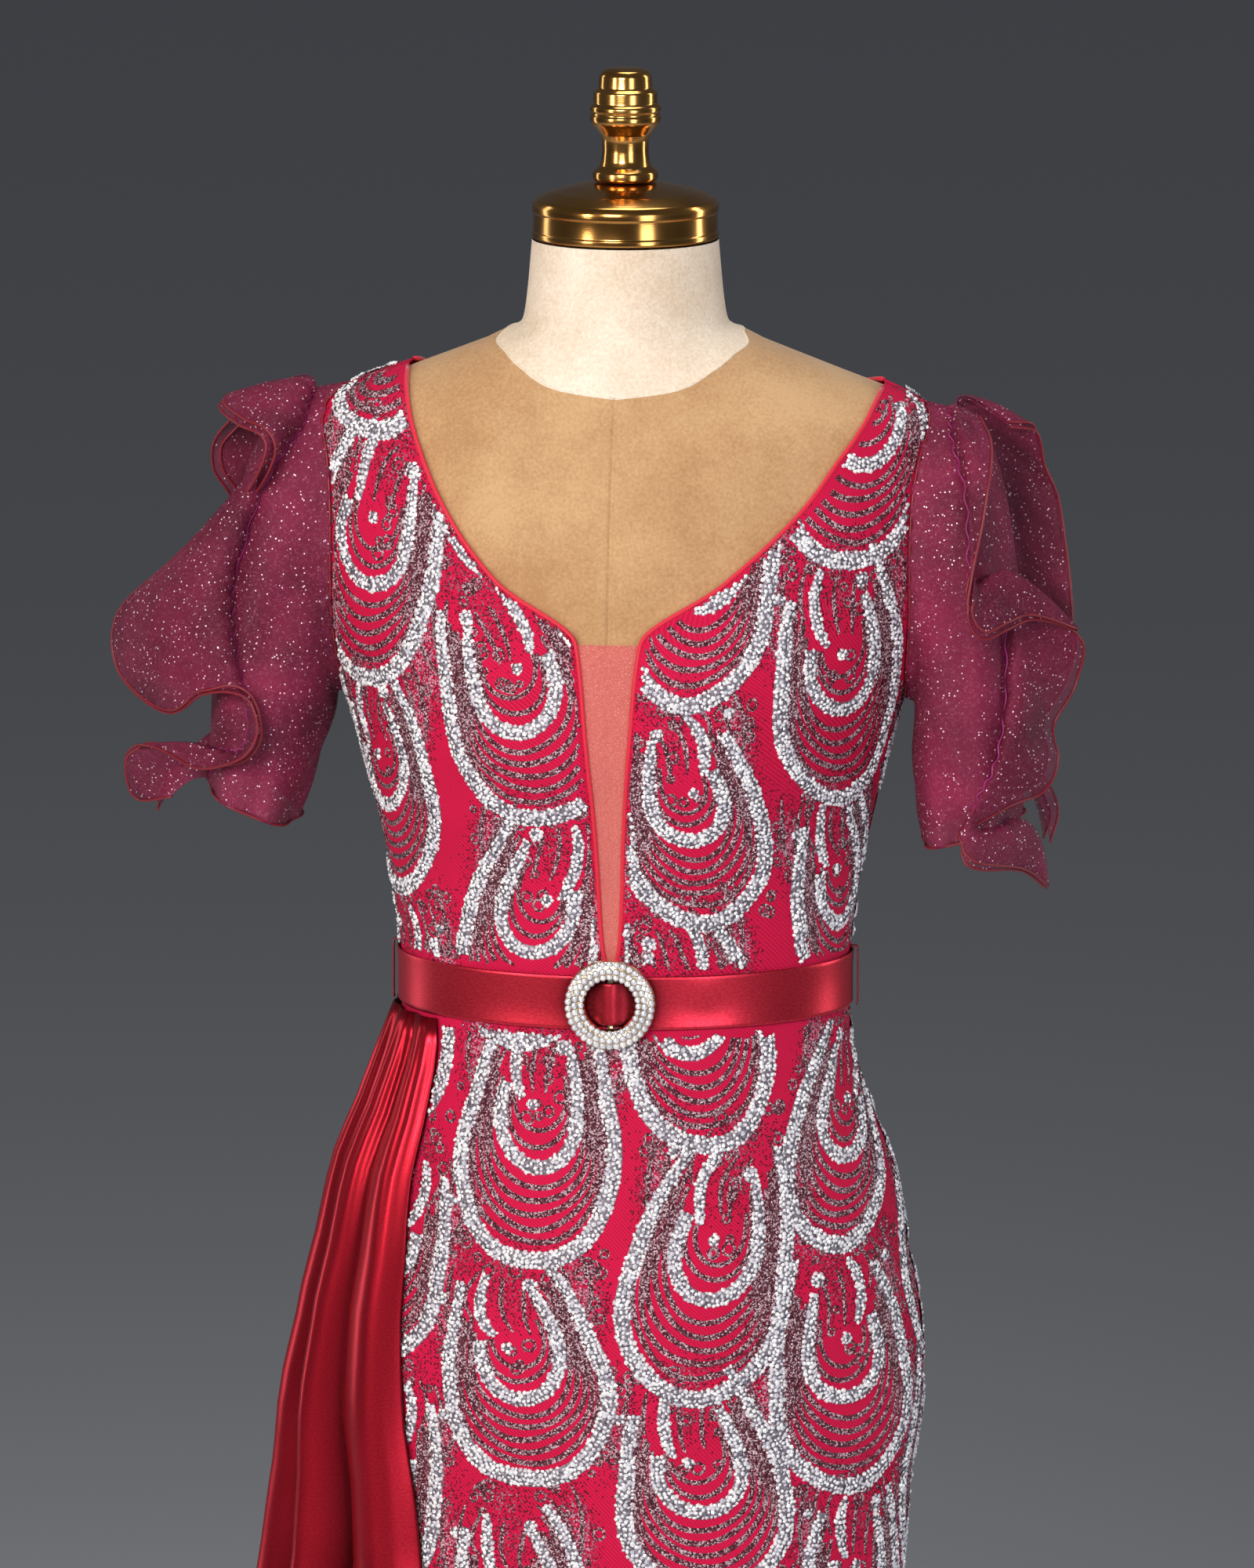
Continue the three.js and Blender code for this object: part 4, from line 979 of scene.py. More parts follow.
def sleeve_ring(side, level, turn, grow):
    """One level of the sleeve; turn runs from the outer line to the front."""
    sign = SIGN[side]
    if level == 0:
        top = SHOULDER[side]["arm"]
        z = (top + UNDERARM) / 2 + ((top - UNDERARM) / 2 + grow + ORGANZA_WALL) * np.cos(turn)
        y = -(ARMHOLE_HALF_DEPTH + grow + ORGANZA_WALL) * np.sin(turn)
        depth = np.where(y < 0, np.interp(z, FINE_Z, FINE[1]), np.interp(z, FINE_Z, FINE[2]))
        angle = sign * np.arccos(np.clip(-y / depth, -1, 1))
        return outside(angle, z, CLOTH_OUT + 0.8)
    out_x, out_z, in_x, in_z, depth = SLEEVE[side][level - 1]
    middle = np.array([sign * (out_x + in_x) / 2, 0, (out_z + in_z) / 2])
    half = np.array([sign * (out_x - in_x) / 2, 0, (out_z - in_z) / 2])
    gather = grow + 2.4 * min(level / 3, 1) * np.cos(5 * turn + 1)
    length = np.linalg.norm(half)
    along = np.cos(turn)[..., None] * half * ((length + gather) / length)[..., None]
    return middle + along + np.stack([0 * turn, -(depth + gather) * np.sin(turn), 0 * turn], axis=-1)


def sleeve_point(side, level, turn, grow):
    """Any place on the sleeve, between its levels on a smooth curve."""
    level, turn = np.broadcast_arrays(np.asarray(level, float), np.asarray(turn, float))
    grow = np.broadcast_to(grow, turn.shape)
    rings = np.stack([sleeve_ring(side, k, turn, grow) for k in range(8)])
    low = np.clip(np.floor(level).astype(int), 0, 6)
    t = (level - low)[..., None]

    def pick(k):
        return np.take_along_axis(rings, np.clip(k, 0, 7)[None, ..., None], axis=0)[0]

    a, b, c, d = pick(low - 1), pick(low), pick(low + 1), pick(low + 2)
    straight = b + (c - b) * t
    near_ends = ((low == 0) | (low == 6))[..., None]
    return np.where(near_ends, straight, spline(a, b, c, d, t))


for side in ("right", "left"):
    turn = -SIGN[side] * full_turn(120)[None, :]
    level = np.linspace(7, 0, 40)[:, None]
    fine = 0.9 * np.exp(-level / 0.8) * np.cos(36 * turn) + 0.35 * np.sin(13 * turn + level * 0.9)
    soft = 1.1 * np.sin(7 * turn + 1.7 * level) * np.clip(level / 3, 0, 1)
    points = sleeve_point(side, level, turn, 1.0 + fine + soft)
    tube = grid_piece(f"sleeve_{side}_tube", points, organza, wall=0.5, ring=True)
    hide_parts(f"sleeve_{side}")
print("sleeve tubes:", len(tube.data.polygons), "quads each")

# %% [markdown]
# A flounce row holds one turn of the cloth: where it is sewn on the tube, as a level
# and a turn in degrees, and where its free edge lies, x counted outwards from the
# middle of the body. Every flounce is two layers of organza with a corded edge each,
# the under one a few millimetres shorter, so two red lines run side by side.

# %% Flounces
FLOUNCES = {
    "flounce_right_front": [
        (0.8, 8, 215, -8, 1411), (0.9, 20, 240, -12, 1402), (1.0, 30, 226, -44, 1396),
        (1.2, 38, 208, -60, 1388), (1.6, 42, 212, -58, 1368), (2.3, 45, 238, -34, 1336),
        (3.2, 48, 276, -12, 1299), (4.0, 48, 305, -4, 1268), (4.3, 55, 302, -10, 1240),
        (4.6, 64, 270, -38, 1221), (4.8, 74, 246, -60, 1236), (5.0, 82, 218, -76, 1237),
        (5.4, 86, 211, -80, 1220), (5.7, 82, 222, -76, 1200), (5.9, 72, 250, -56, 1191),
        (6.1, 58, 280, -28, 1199), (6.3, 40, 298, -4, 1190), (6.6, 25, 296, 6, 1162),
        (6.9, 20, 272, -10, 1166),
    ],
    "flounce_left_front": [
        (0.8, 8, 210, -8, 1400), (0.9, 18, 219, -32, 1390), (1.0, 30, 219, -58, 1368),
        (1.4, 42, 214, -68, 1336), (2.0, 52, 210, -74, 1313), (2.5, 62, 208, -78, 1292),
        (2.9, 68, 217, -74, 1278), (3.2, 64, 231, -60, 1282), (3.4, 56, 246, -42, 1285),
        (3.6, 46, 268, -18, 1274), (3.9, 38, 273, -8, 1260), (4.2, 34, 268, -4, 1240),
        (4.6, 34, 256, -12, 1218), (5.2, 40, 258, -8, 1197), (5.7, 50, 250, -20, 1178),
        (6.0, 62, 230, -44, 1173), (6.2, 74, 212, -62, 1164), (6.5, 80, 205, -68, 1150),
        (6.8, 74, 212, -66, 1140), (6.9, 55, 238, -34, 1133), (6.9, 30, 251, -6, 1118),
    ],
    "flounce_right_back": [
        (0.9, -10, 222, 12, 1404), (1.1, -22, 246, 22, 1380), (1.5, -32, 249, 28, 1358),
        (2.0, -40, 240, 40, 1334), (2.8, -46, 258, 52, 1302), (3.6, -46, 285, 38, 1270),
        (4.3, -44, 288, 26, 1242), (4.9, -48, 268, 46, 1222), (5.3, -58, 240, 68, 1212),
        (5.7, -68, 226, 78, 1194), (6.0, -62, 250, 68, 1182), (6.3, -50, 280, 42, 1168),
        (6.6, -38, 284, 28, 1150),
    ],
    "flounce_left_back": [
        (0.9, -10, 228, 12, 1392), (1.1, -22, 243, 20, 1386), (1.5, -32, 248, 32, 1364),
        (2.0, -38, 256, 38, 1340), (2.6, -42, 261, 36, 1308), (3.2, -44, 264, 30, 1274),
        (3.8, -46, 262, 38, 1246), (4.5, -52, 240, 62, 1226), (5.2, -58, 226, 76, 1202),
        (5.8, -56, 240, 66, 1180), (6.3, -46, 256, 38, 1160), (6.7, -34, 252, 22, 1140),
    ],
}
FLOUNCE_BOW = 0.42
CORD_RADIUS = 0.85


def through(rows, count):
    """A smooth curve through the rows of an array, evenly stepped from row to row."""
    rows = np.asarray(rows, float)
    padded = np.vstack([2 * rows[0] - rows[1], rows, 2 * rows[-1] - rows[-2]])
    place = np.linspace(0, len(rows) - 1, count)
    k = np.minimum(place.astype(int), len(rows) - 2)
    t = (place - k)[:, None]
    return spline(padded[k], padded[k + 1], padded[k + 2], padded[k + 3], t)


def tube_piece(name, line, radius, sides, material):
    """A closed round cord along a line of points in millimetres."""
    line = np.asarray(line, float)
    ahead = unit(np.gradient(line, axis=0))
    guide = np.array([0.3, 0.9, 0.31])
    across = unit(np.cross(ahead, guide))
    other = np.cross(ahead, across)
    turn = full_turn(sides)
    ring = np.cos(turn)[:, None] * across[:, None, :] - np.sin(turn)[:, None] * other[:, None, :]
    points = (line[:, None, :] + ring * radius).reshape(-1, 3)
    faces = [face[::-1] for face in grid_faces(len(line), sides, ring=True)]
    faces.append(tuple(range(sides)))
    faces.append(tuple(range(len(points) - 1, len(points) - 1 - sides, -1)))
    return new_piece(name, points, faces, material)


def flounce_points(name, count, across, drop, shift):
    """The layer's grid: drop shortens it at the free edge, shift moves it sideways there."""
    side = "left" if "left" in name else "right"
    rows = FLOUNCES[name]
    root_at = through([(r[0], math.radians(r[1])) for r in rows], count)
    edge = through([(SIGN[side] * r[2], r[3], r[4]) for r in rows], count)
    root = sleeve_point(side, root_at[:, 0], root_at[:, 1], ORGANZA_WALL + 0.9)
    near = sleeve_point(side, root_at[:, 0], root_at[:, 1], ORGANZA_WALL + 1.9)
    reach = np.linalg.norm(edge - root, axis=1, keepdims=True)
    edge = edge - (edge - root) / reach * drop
    handle = root + unit(near - root) * FLOUNCE_BOW * reach
    t = np.linspace(0, 1, across)[None, :, None]
    sheet = bend(root[:, None], handle[:, None], edge[:, None], t)
    s = np.arange(count)[:, None] / count * len(rows)
    normal = unit(np.cross(np.gradient(sheet, axis=0), np.gradient(sheet, axis=1)))
    ripple = 0.8 * np.sin(3.1 * s + 2 * t[..., 0]) * t[..., 0] + 1.0 * np.cos(9.0 * s) * (1 - t[..., 0]) ** 2
    return sheet + normal * (ripple + shift * t[..., 0])[..., None]


for name in FLOUNCES:
    for layer, drop, shift in (("top", 0.0, 0.0), ("under", 4.5, -4.0)):
        count = len(FLOUNCES[name]) * 10
        points = flounce_points(name, count, 14, drop, shift)
        upward = points[::-1] if "front" in name else points
        ruffle = grid_piece(f"{name}_{layer}", upward, flounce_organza, wall=0.5)
        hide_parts(name)
        seam_length, edge_length = (
            float(np.linalg.norm(np.diff(points[:, k], axis=0), axis=1).sum()) * MM for k in (1, -1)
        )
        width = float(np.linalg.norm(np.diff(points, axis=1), axis=2).sum(axis=1).mean()) * MM
        ring_cut = (seam_length + edge_length) / 2 * width * 0.9
        if layer == "top":
            tube_piece(f"{name}_seam", points[1:-1, 0], 0.75, 6, seam_thread)
        tube_piece(f"{name}_{layer}_edge", points[:, -1], CORD_RADIUS, 6, corded_edge)
        print(name, layer, "cut", round(width, 3), "x", round(edge_length, 3), "m,", round(ring_cut, 4), "m2")

# %% [markdown]
# Embroidery is drawn flat before it is sewn, so the cloth needs a flat map. Across,
# it is the distance from the centre front or the centre back along the cloth; up, it
# is the height. Two tables per side, made every few millimetres, turn a distance into
# an angle round the body and back.

# %% Flat map of the cloth
MAP_Z = np.arange(10, 1431, 5.0)
MAP_TURN = np.linspace(0, math.radians(125), 160)
MAP_REACH = np.arange(0, 561, 4.0)
MIDDLE = {"front": 0.0, "back": math.pi}
ARC, TURN = {}, {}
for part, middle in MIDDLE.items():
    turn, z = np.meshgrid(MAP_TURN, MAP_Z)
    points = outside(middle + turn, z, CLOTH_OUT)
    steps = np.linalg.norm(np.diff(points[..., :2], axis=1), axis=2)
    ARC[part] = np.concatenate([np.zeros((len(MAP_Z), 1)), np.cumsum(steps, axis=1)], axis=1)
    TURN[part] = np.array([np.interp(MAP_REACH, row, MAP_TURN) for row in ARC[part]])


def read_map(table, first_step, second_step, first, second):
    """Value of a regular table between its rows and columns."""
    a = np.clip(first / first_step, 0, table.shape[0] - 1.001)
    b = np.clip(second / second_step, 0, table.shape[1] - 1.001)
    i, j = a.astype(int), b.astype(int)
    a, b = a - i, b - j
    low = table[i, j] * (1 - b) + table[i, j + 1] * b
    high = table[i + 1, j] * (1 - b) + table[i + 1, j + 1] * b
    return low * (1 - a) + high * a


def turn_at(part, s, z):
    turn = read_map(TURN[part], 5.0, 4.0, z - 10, np.abs(s))
    return np.sign(s) * turn


def reach_at(part, turn, z):
    return np.sign(turn) * read_map(ARC[part], 5.0, MAP_TURN[1], z - 10, np.abs(turn))


# Where a stitch may lie: clear of every edge, the belt and the drape's seam.
BELT_ZONE = (1044, 1080)
DRAPE_SEWN_ABOVE = 930
UNDER_DRAPE = (51, 158)


def on_cloth(part, s, z, margin):
    turn = turn_at(part, s, z)
    angle = MIDDLE[part] + turn
    radius = np.maximum(half_width(z), 40)
    off_seam = np.abs(turn) < QUARTER - 0.006 - margin / radius
    skirt = (z > HEM + 3 + margin) & (z < BELT_ZONE[0] - 1)
    drape_turn = np.where(part == "front", -np.degrees(turn), 180 - np.degrees(turn))
    under_drape = (drape_turn > UNDER_DRAPE[0]) & (drape_turn < UNDER_DRAPE[1]) & (z > DRAPE_SEWN_ABOVE)
    side_x = np.sin(angle)
    armhole = np.zeros(s.shape, bool)
    below_neck = np.zeros(s.shape, bool)
    point = body_point(angle, z)
    for side in ("right", "left"):
        here = side_x * SIGN[side] >= 0
        top = SHOULDER[side]["arm"]
        up = (z - (top + UNDERARM) / 2) / ((top - UNDERARM) / 2 + margin + 1.5)
        out = point[..., 1] / (ARMHOLE_HALF_DEPTH + margin + 1.5)
        armhole |= here & (up**2 + out**2 < 1)
        edge = inner_edge(side, part == "front", z)
        edge = edge if part == "front" else math.pi - edge
        clear = (np.abs(turn) - edge) * radius * np.cos(np.clip(turn, -1.2, 1.2)) > margin + 1.0
        below_neck |= here & clear & (z < SHOULDER[side]["neck"] - 3 - margin)
    bodice = (z > BELT_ZONE[1] + margin) & below_neck & ~armhole
    return off_seam & ((skirt & ~under_drape) | bodice)


print("flat map rows:", len(MAP_Z), "widest half:", round(float(ARC["front"].max())), "mm")

# %% [markdown]
# The motif is charted as a small table of strokes. All are parts of one
# teardrop: a round bowl with two arms that lean in, scaled about a point near its
# top. A stroke runs from start to end along it, minus on the left, 0 at the bottom,
# 1 at the tip of an arm. The layout is a plain half drop, with seeded changes of
# width, lean and arm length, so that no two are alike.

# %% Chart of the motif
BOWL_HALF, BOWL_DEPTH, ARM_RISE, ARM_LEAN, PIVOT = 47, 54, 84, 0.42, 112
STROKES = [  # cord, scale, start, end, width
    ("silver", 1.0, -1.0, 0.95, 9.9), ("dark", 0.9, -1.0, 0.93, 3.6), ("dark", 0.83, -0.98, 0.9, 3.6),
    ("dark", 0.76, -0.94, 0.88, 3.6), ("dark", 0.69, -0.92, 0.84, 3.6), ("dark", 0.62, -0.9, 0.8, 3.4),
    ("silver", 0.51, -0.98, 0.68, 8.5), ("dark", 0.41, -0.9, 0.62, 3.2), ("dark", 0.33, -0.76, 0.55, 3.0),
]
SPRIGS = [  # cord, start, middle, end, width: short strokes that fill between the teardrops
    ("dark", (34, 92), (45, 118), (30, 146), 3.2), ("dark", (-34, 92), (-45, 118), (-30, 146), 3.2),
    ("dark", (42, 98), (55, 122), (42, 150), 3.0), ("dark", (-42, 98), (-55, 122), (-42, 150), 3.0),
    ("dark", (25, 112), (32, 128), (19, 142), 3.0), ("dark", (-25, 112), (-32, 128), (-19, 142), 3.0),
    ("silver", (13, 96), (24, 116), (12, 137), 7.2), ("dark", (4, 100), (9, 118), (2, 134), 3.0),
    ("dark", (-6, 98), (-3, 116), (-10, 132), 3.0),
]
RING_ZONES = [  # across, up, half width, half height, how many
    (-12, 112, 10, 16, 5), (0, 84, 12, 10, 4), (40, 4, 12, 9, 4), (-40, 4, 12, 9, 4), (8, 146, 22, 6, 3),
    (44, 118, 13, 30, 6), (-44, 118, 13, 30, 6), (18, -5, 24, 7, 3), (-18, -5, 24, 7, 3),
]
CLUSTERS = [(-13, 128, 4.4), (4, 90, 3.4), (40, 128, 3.2)]  # across, up, radius
STREWN = [  # across, up, half width, half height, thickness
    (0, 122, 24, 24, 0.55), (44, 118, 12, 34, 0.95), (-44, 118, 12, 34, 0.95), (0, 150, 26, 12, 0.5),
]
COLUMN_PITCH = 103
ROW_PITCH = 138


def teardrop(p, scale):
    """Points of the teardrop at places p, scaled about the pivot, in millimetres."""
    sign, p = np.sign(p), np.abs(p)
    bowl = np.minimum(p / 0.5, 1) * QUARTER
    arm = np.clip((p - 0.5) / 0.5, 0, 1.3)
    u = sign * BOWL_HALF * np.sin(bowl) * (1 - ARM_LEAN * arm**1.7)
    v = BOWL_DEPTH * (1 - np.cos(bowl)) + ARM_RISE * arm
    return np.stack([u * scale, PIVOT + (v - PIVOT) * scale], axis=-1)


def layout(part):
    """Every motif on one side: its place, lean, width and which arm is longer."""
    rng = np.random.default_rng(41 if part == "front" else 77)
    motifs = []
    for column in range(-5, 5):
        for row in range(-1, 11):
            s = (column + 0.5) * COLUMN_PITCH + rng.uniform(-7, 7)
            z = 6 + row * ROW_PITCH + (ROW_PITCH / 2 if column % 2 else 0) + rng.uniform(-7, 7)
            motifs.append({
                "s": s, "z": z, "lean": math.radians(rng.uniform(-23, 23)),
                "wide": rng.uniform(0.86, 1.08), "tall": rng.uniform(0.9, 1.1),
                "hand": rng.choice([-1, 1]), "seed": int(rng.integers(1, 10**6)),
            })
    return motifs


LAYOUT = {part: layout(part) for part in MIDDLE}


def placed(motif, flat):
    """Points of the chart as distance and height on the cloth."""
    u = flat[..., 0] * motif["wide"] * motif["hand"]
    v = (flat[..., 1] - 60) * motif["tall"]
    cosine, sine = math.cos(motif["lean"]), math.sin(motif["lean"])
    return motif["s"] + u * cosine - v * sine, motif["z"] + 60 + u * sine + v * cosine


def bowed(start, middle, end, count):
    t = np.linspace(0, 1, count)[:, None]
    return bend(np.array(start), np.array(middle), np.array(end), t)


def strewn_glitter(part, s, z):
    """How thickly loose glitter lies at places of the cloth, from 0 to 0.85."""
    amount = np.zeros(s.shape)
    for motif in LAYOUT[part]:
        near = (np.abs(s - motif["s"]) < 120) & (np.abs(z - motif["z"] - 60) < 150)
        if not near.any():
            continue
        across, up = s[near] - motif["s"], z[near] - motif["z"] - 60
        cosine, sine = math.cos(motif["lean"]), math.sin(motif["lean"])
        u = (across * cosine + up * sine) / motif["wide"] * motif["hand"]
        v = (up * cosine - across * sine) / motif["tall"] + 60
        for middle_u, middle_v, half_u, half_v, thickness in STREWN:
            away = ((u - middle_u) / half_u) ** 2 + ((v - middle_v) / half_v) ** 2
            amount[near] += thickness * np.exp(-away)
    return np.clip(amount, 0, 0.85)


for name, (piece, angle, z) in PANELS.items():
    part = "front" if "front" in name else "back"
    turn = np.arctan2(np.sin(angle - MIDDLE[part]), np.cos(angle - MIDDLE[part]))
    amount = strewn_glitter(part, reach_at(part, turn, z), z)
    layer = piece.data.attributes.new("glitter", "FLOAT", "POINT")
    layer.data.foreach_set("value", amount.ravel())
print("motifs charted:", sum(len(m) for m in LAYOUT.values()))

# %% [markdown]
# Each stroke becomes a low ribbon with a rounded back: five points across for a
# sequin band, three for a bead cord. All ribbons of one side of the gown are worked
# out at once, laid on the cloth, and cut off where the cloth ends.

# %% Ribbons along the strokes
CROSS = {
    "silver": [(-1, 0.1), (-0.62, 0.9), (0, 1.25), (0.62, 0.9), (1, 0.1)],  # across, height
    "dark": [(-1, 0.05), (0, 0.75), (1, 0.05)],
}
STROKE_STEP = 5.4
STROKE_LENGTH = 165  # of one arm, half the teardrop, in millimetres at full scale
RIPPLE_STEP, RIPPLE = 0.55, 0.7
MAPPED = (12, 1428)


def strokes_of(motif):
    """Flat lines of one motif: cord, points, width and how near each point is to a tip."""
    rng = np.random.default_rng(motif["seed"])
    for cord, scale, start, end, width in STROKES:
        reach = rng.uniform(-0.06, 0.04, 2)
        count = max(int((end - start) * STROKE_LENGTH * scale / STROKE_STEP), 4)
        p = np.linspace(start + reach[0], end + reach[1], count)
        yield cord, teardrop(p, scale), width, np.clip((np.abs(p) - 0.6) / 0.42, 0, 1)
    for cord, start, middle, end, width in SPRIGS:
        shift = rng.uniform(-3, 3, (3, 2))
        line = bowed(start + shift[0], middle + shift[1], end + shift[2], 12)
        yield cord, line, width, np.abs(np.linspace(-1, 1, 12)) ** 2
    for across, up, half_across, half_up, count in RING_ZONES:
        for _ in range(count):
            middle = np.array([across, up]) + rng.uniform(-1, 1, 2) * (half_across, half_up)
            turn = np.linspace(0, 2 * math.pi, 8)
            radius = rng.uniform(1.6, 3.9)
            ring = middle + radius * np.stack([np.cos(turn), np.sin(turn)], axis=-1)
            yield "dark", ring, 1.9, np.zeros(8)


def stroke_ribbons(part, cord):
    """Flat corner places and heights of every ribbon of one kind, and its faces."""
    spots, heights, faces, count = [], [], [], 0
    cross = np.array(CROSS[cord])
    for motif in LAYOUT[part]:
        for kind, flat, width, tip in strokes_of(motif):
            if kind != cord:
                continue
            line = np.stack(placed(motif, flat), axis=-1)
            ahead = unit(np.gradient(line, axis=0))
            side = np.stack([-ahead[:, 1], ahead[:, 0]], axis=-1) * motif["hand"]
            if width > 2:
                ripple = np.sin(np.arange(len(line)) * RIPPLE_STEP + motif["seed"]) * RIPPLE
                line = line + side * ripple[:, None]
            narrow = 1 - 0.5 * tip**1.5
            reach_out = cross[None, :, :1] * (width / 2) * narrow[:, None, None]
            spots.append((line[:, None] + side[:, None] * reach_out).reshape(-1, 2))
            heights.append(np.tile(cross[:, 1], len(line)))
            quads = np.array(grid_faces(len(line), len(cross))) + count
            faces.append(quads if motif["hand"] < 0 else quads[:, ::-1])
            count += len(line) * len(cross)
    if cord == "silver":
        add_clusters(part, spots, heights, faces, count)
    return np.concatenate(spots), np.concatenate(heights), np.concatenate(faces)


def add_clusters(part, spots, heights, faces, count):
    """Small round patches of sequins, four rounds of eight points each."""
    turn = np.linspace(0, 2 * math.pi, 9)[:-1]
    for motif in LAYOUT[part]:
        rng = np.random.default_rng(motif["seed"] + 1)
        for across, up, radius in CLUSTERS:
            middle = np.array([across, up]) + rng.uniform(-3, 3, 2)
            for share in (1.0, 0.7, 0.4, 0.08):
                around = middle + radius * share * np.stack([np.cos(turn), np.sin(turn)], axis=-1)
                spots.append(np.stack(placed(motif, around), axis=-1))
            heights.append(np.repeat([0.1, 0.9, 1.3, 1.4], 8))
            quads = np.array(grid_faces(4, 8, ring=True)) + count
            faces.append(quads if motif["hand"] > 0 else quads[:, ::-1])
            count += 32


def sewn(part, spots, heights, faces, margin):
    """Lay flat places on the cloth and keep the faces that lie on it, in two zones."""
    s, z = spots[:, 0], spots[:, 1]
    height = np.clip(z, *MAPPED)
    good = on_cloth(part, s, height, margin) & (z > MAPPED[0] + 2) & (z < MAPPED[1] - 2)
    points = cloth_point(MIDDLE[part] + turn_at(part, s, height), height, heights)
    keep = good[faces].all(axis=1)
    zones = {}
    for zone, test in ((f"bodice_{part}", z > WAIST), (f"skirt_{part}", z <= WAIST)):
        chosen = faces[keep & test[faces].all(axis=1)]
        used, renumbered = np.unique(chosen, return_inverse=True)
        zones[zone] = (points[used], renumbered.reshape(chosen.shape))
    return zones


TAPES, CORDS = {}, {}
for part in MIDDLE:
    for cord, made, margin in (("silver", TAPES, 0.4), ("dark", CORDS, 0.8)):
        for zone, (points, faces) in sewn(part, *stroke_ribbons(part, cord), margin).items():
            name = f"{zone}_{'sequin_tape' if cord == 'silver' else 'bead_cords'}"
            material = sequin_tape if cord == "silver" else dark_bead
            made[zone] = new_piece(name, points, faces.tolist(), material)
            print(name, len(faces), "faces")

# %% [markdown]
# Sequins are scattered over the tapes by Geometry Nodes: points no closer than 2 mm,
# a five-sided cupped flake on each, tipped at random by up to about thirty degrees
# each way, and all made real at the end. A flake is five triangles, because there are
# tens of thousands.

# %% Scattered sequins
WHOLE_TURN = 6.28
FLAKE_CUP = 0.9 * MM
FLAKE_LIFT = 0.3 * MM
MOST_FLAKES = 900000.0  # for each square metre


def new_tree(name, floats, whole_numbers):
    """A node tree that takes a geometry and some numbers, with its input node."""
    tree = bpy.data.node_groups.new(name, "GeometryNodeTree")
    tree.interface.new_socket("Base", in_out="INPUT", socket_type="NodeSocketGeometry")
    for socket_type, values in (("NodeSocketFloat", floats), ("NodeSocketInt", whole_numbers)):
        for key, value in values.items():
            socket = tree.interface.new_socket(key, in_out="INPUT", socket_type=socket_type)
            socket.default_value = value
    tree.interface.new_socket("Made", in_out="OUTPUT", socket_type="NodeSocketGeometry")
    return tree, add_node(tree, "NodeGroupInput")


def close_tree(tree, instances, material):
    """Make the instances real, paint them and hand them out."""
    real = add_node(tree, "GeometryNodeRealizeInstances", {"Geometry": instances.outputs[0]})
    painted = add_node(tree, "GeometryNodeSetMaterial", {"Geometry": real.outputs[0], "Material": material})
    result = add_node(tree, "NodeGroupOutput")
    tree.links.new(painted.outputs[0], result.inputs[0])
    return tree


def sequin_tree():
    floats = {"Flake radius": 1.5, "Least spacing": 2.05, "Tip": 0.55}
    tree, given = new_tree("scatter_sequins", floats, {"Seed": 5})
    seed, tip = given.outputs["Seed"], given.outputs["Tip"]
    spacing = add_node(tree, MATH, {0: given.outputs["Least spacing"], 1: MM}, operation="MULTIPLY")
    radius = add_node(tree, MATH, {0: given.outputs["Flake radius"], 1: MM}, operation="MULTIPLY")
    scatter = add_node(tree, "GeometryNodeDistributePointsOnFaces", {
        "Mesh": given.outputs["Base"], "Distance Min": spacing.outputs[0], "Density Max": MOST_FLAKES,
        "Seed": seed,
    }, distribute_method="POISSON")
    flake = add_node(tree, "GeometryNodeMeshCone", {
        "Vertices": 5, "Radius Top": 0.0, "Radius Bottom": radius.outputs[0], "Depth": FLAKE_CUP,
    }, fill_type="NONE")
    lowest = add_node(tree, MATH, {0: tip, 1: -1.0}, operation="MULTIPLY")
    low = add_node(tree, "ShaderNodeCombineXYZ", {0: lowest.outputs[0], 1: lowest.outputs[0], 2: 0.0})
    high = add_node(tree, "ShaderNodeCombineXYZ", {0: tip, 1: tip, 2: WHOLE_TURN})
    tilt = add_node(tree, "FunctionNodeRandomValue", {
        0: low.outputs[0], 1: high.outputs[0], "Seed": seed,
    }, data_type="FLOAT_VECTOR")
    turned = add_node(tree, "FunctionNodeRotateRotation", {
        "Rotation": scatter.outputs["Rotation"], 1: tilt.outputs[0],
    }, rotation_space="LOCAL")
    size = add_node(tree, "FunctionNodeRandomValue", {"Seed": seed, 2: 0.75, 3: 1.2}, data_type="FLOAT")
    sewn_on = add_node(tree, "GeometryNodeInstanceOnPoints", {
        "Points": scatter.outputs["Points"], "Instance": flake.outputs[0],
        "Rotation": turned.outputs[0], "Scale": size.outputs[1],
    })
    lifted = add_node(tree, "GeometryNodeTranslateInstances", {
        "Instances": sewn_on.outputs[0], "Translation": (0, 0, FLAKE_LIFT),
    })
    return close_tree(tree, lifted, silver_sequin)


def grown(name, base, tree, values, material):
    """Run a node tree on a copy of a piece and keep the result as a plain mesh piece."""
    source = bpy.data.objects.new(name + "_source", base.data)
    bpy.context.scene.collection.objects.link(source)
    modifier = source.modifiers.new(name, "NODES")
    modifier.node_group = tree
    for socket in tree.interface.items_tree:
        if socket.item_type == "SOCKET" and socket.in_out == "INPUT" and socket.name in values:
            modifier[socket.identifier] = values[socket.name]
    evaluated = source.evaluated_get(bpy.context.evaluated_depsgraph_get())
    mesh = bpy.data.meshes.new_from_object(evaluated)
    bpy.data.objects.remove(source)
    mesh.name = name
    mesh.materials.clear()
    mesh.materials.append(material)
    mesh.polygons.foreach_set("material_index", [0] * len(mesh.polygons))
    return riding(name, mesh)


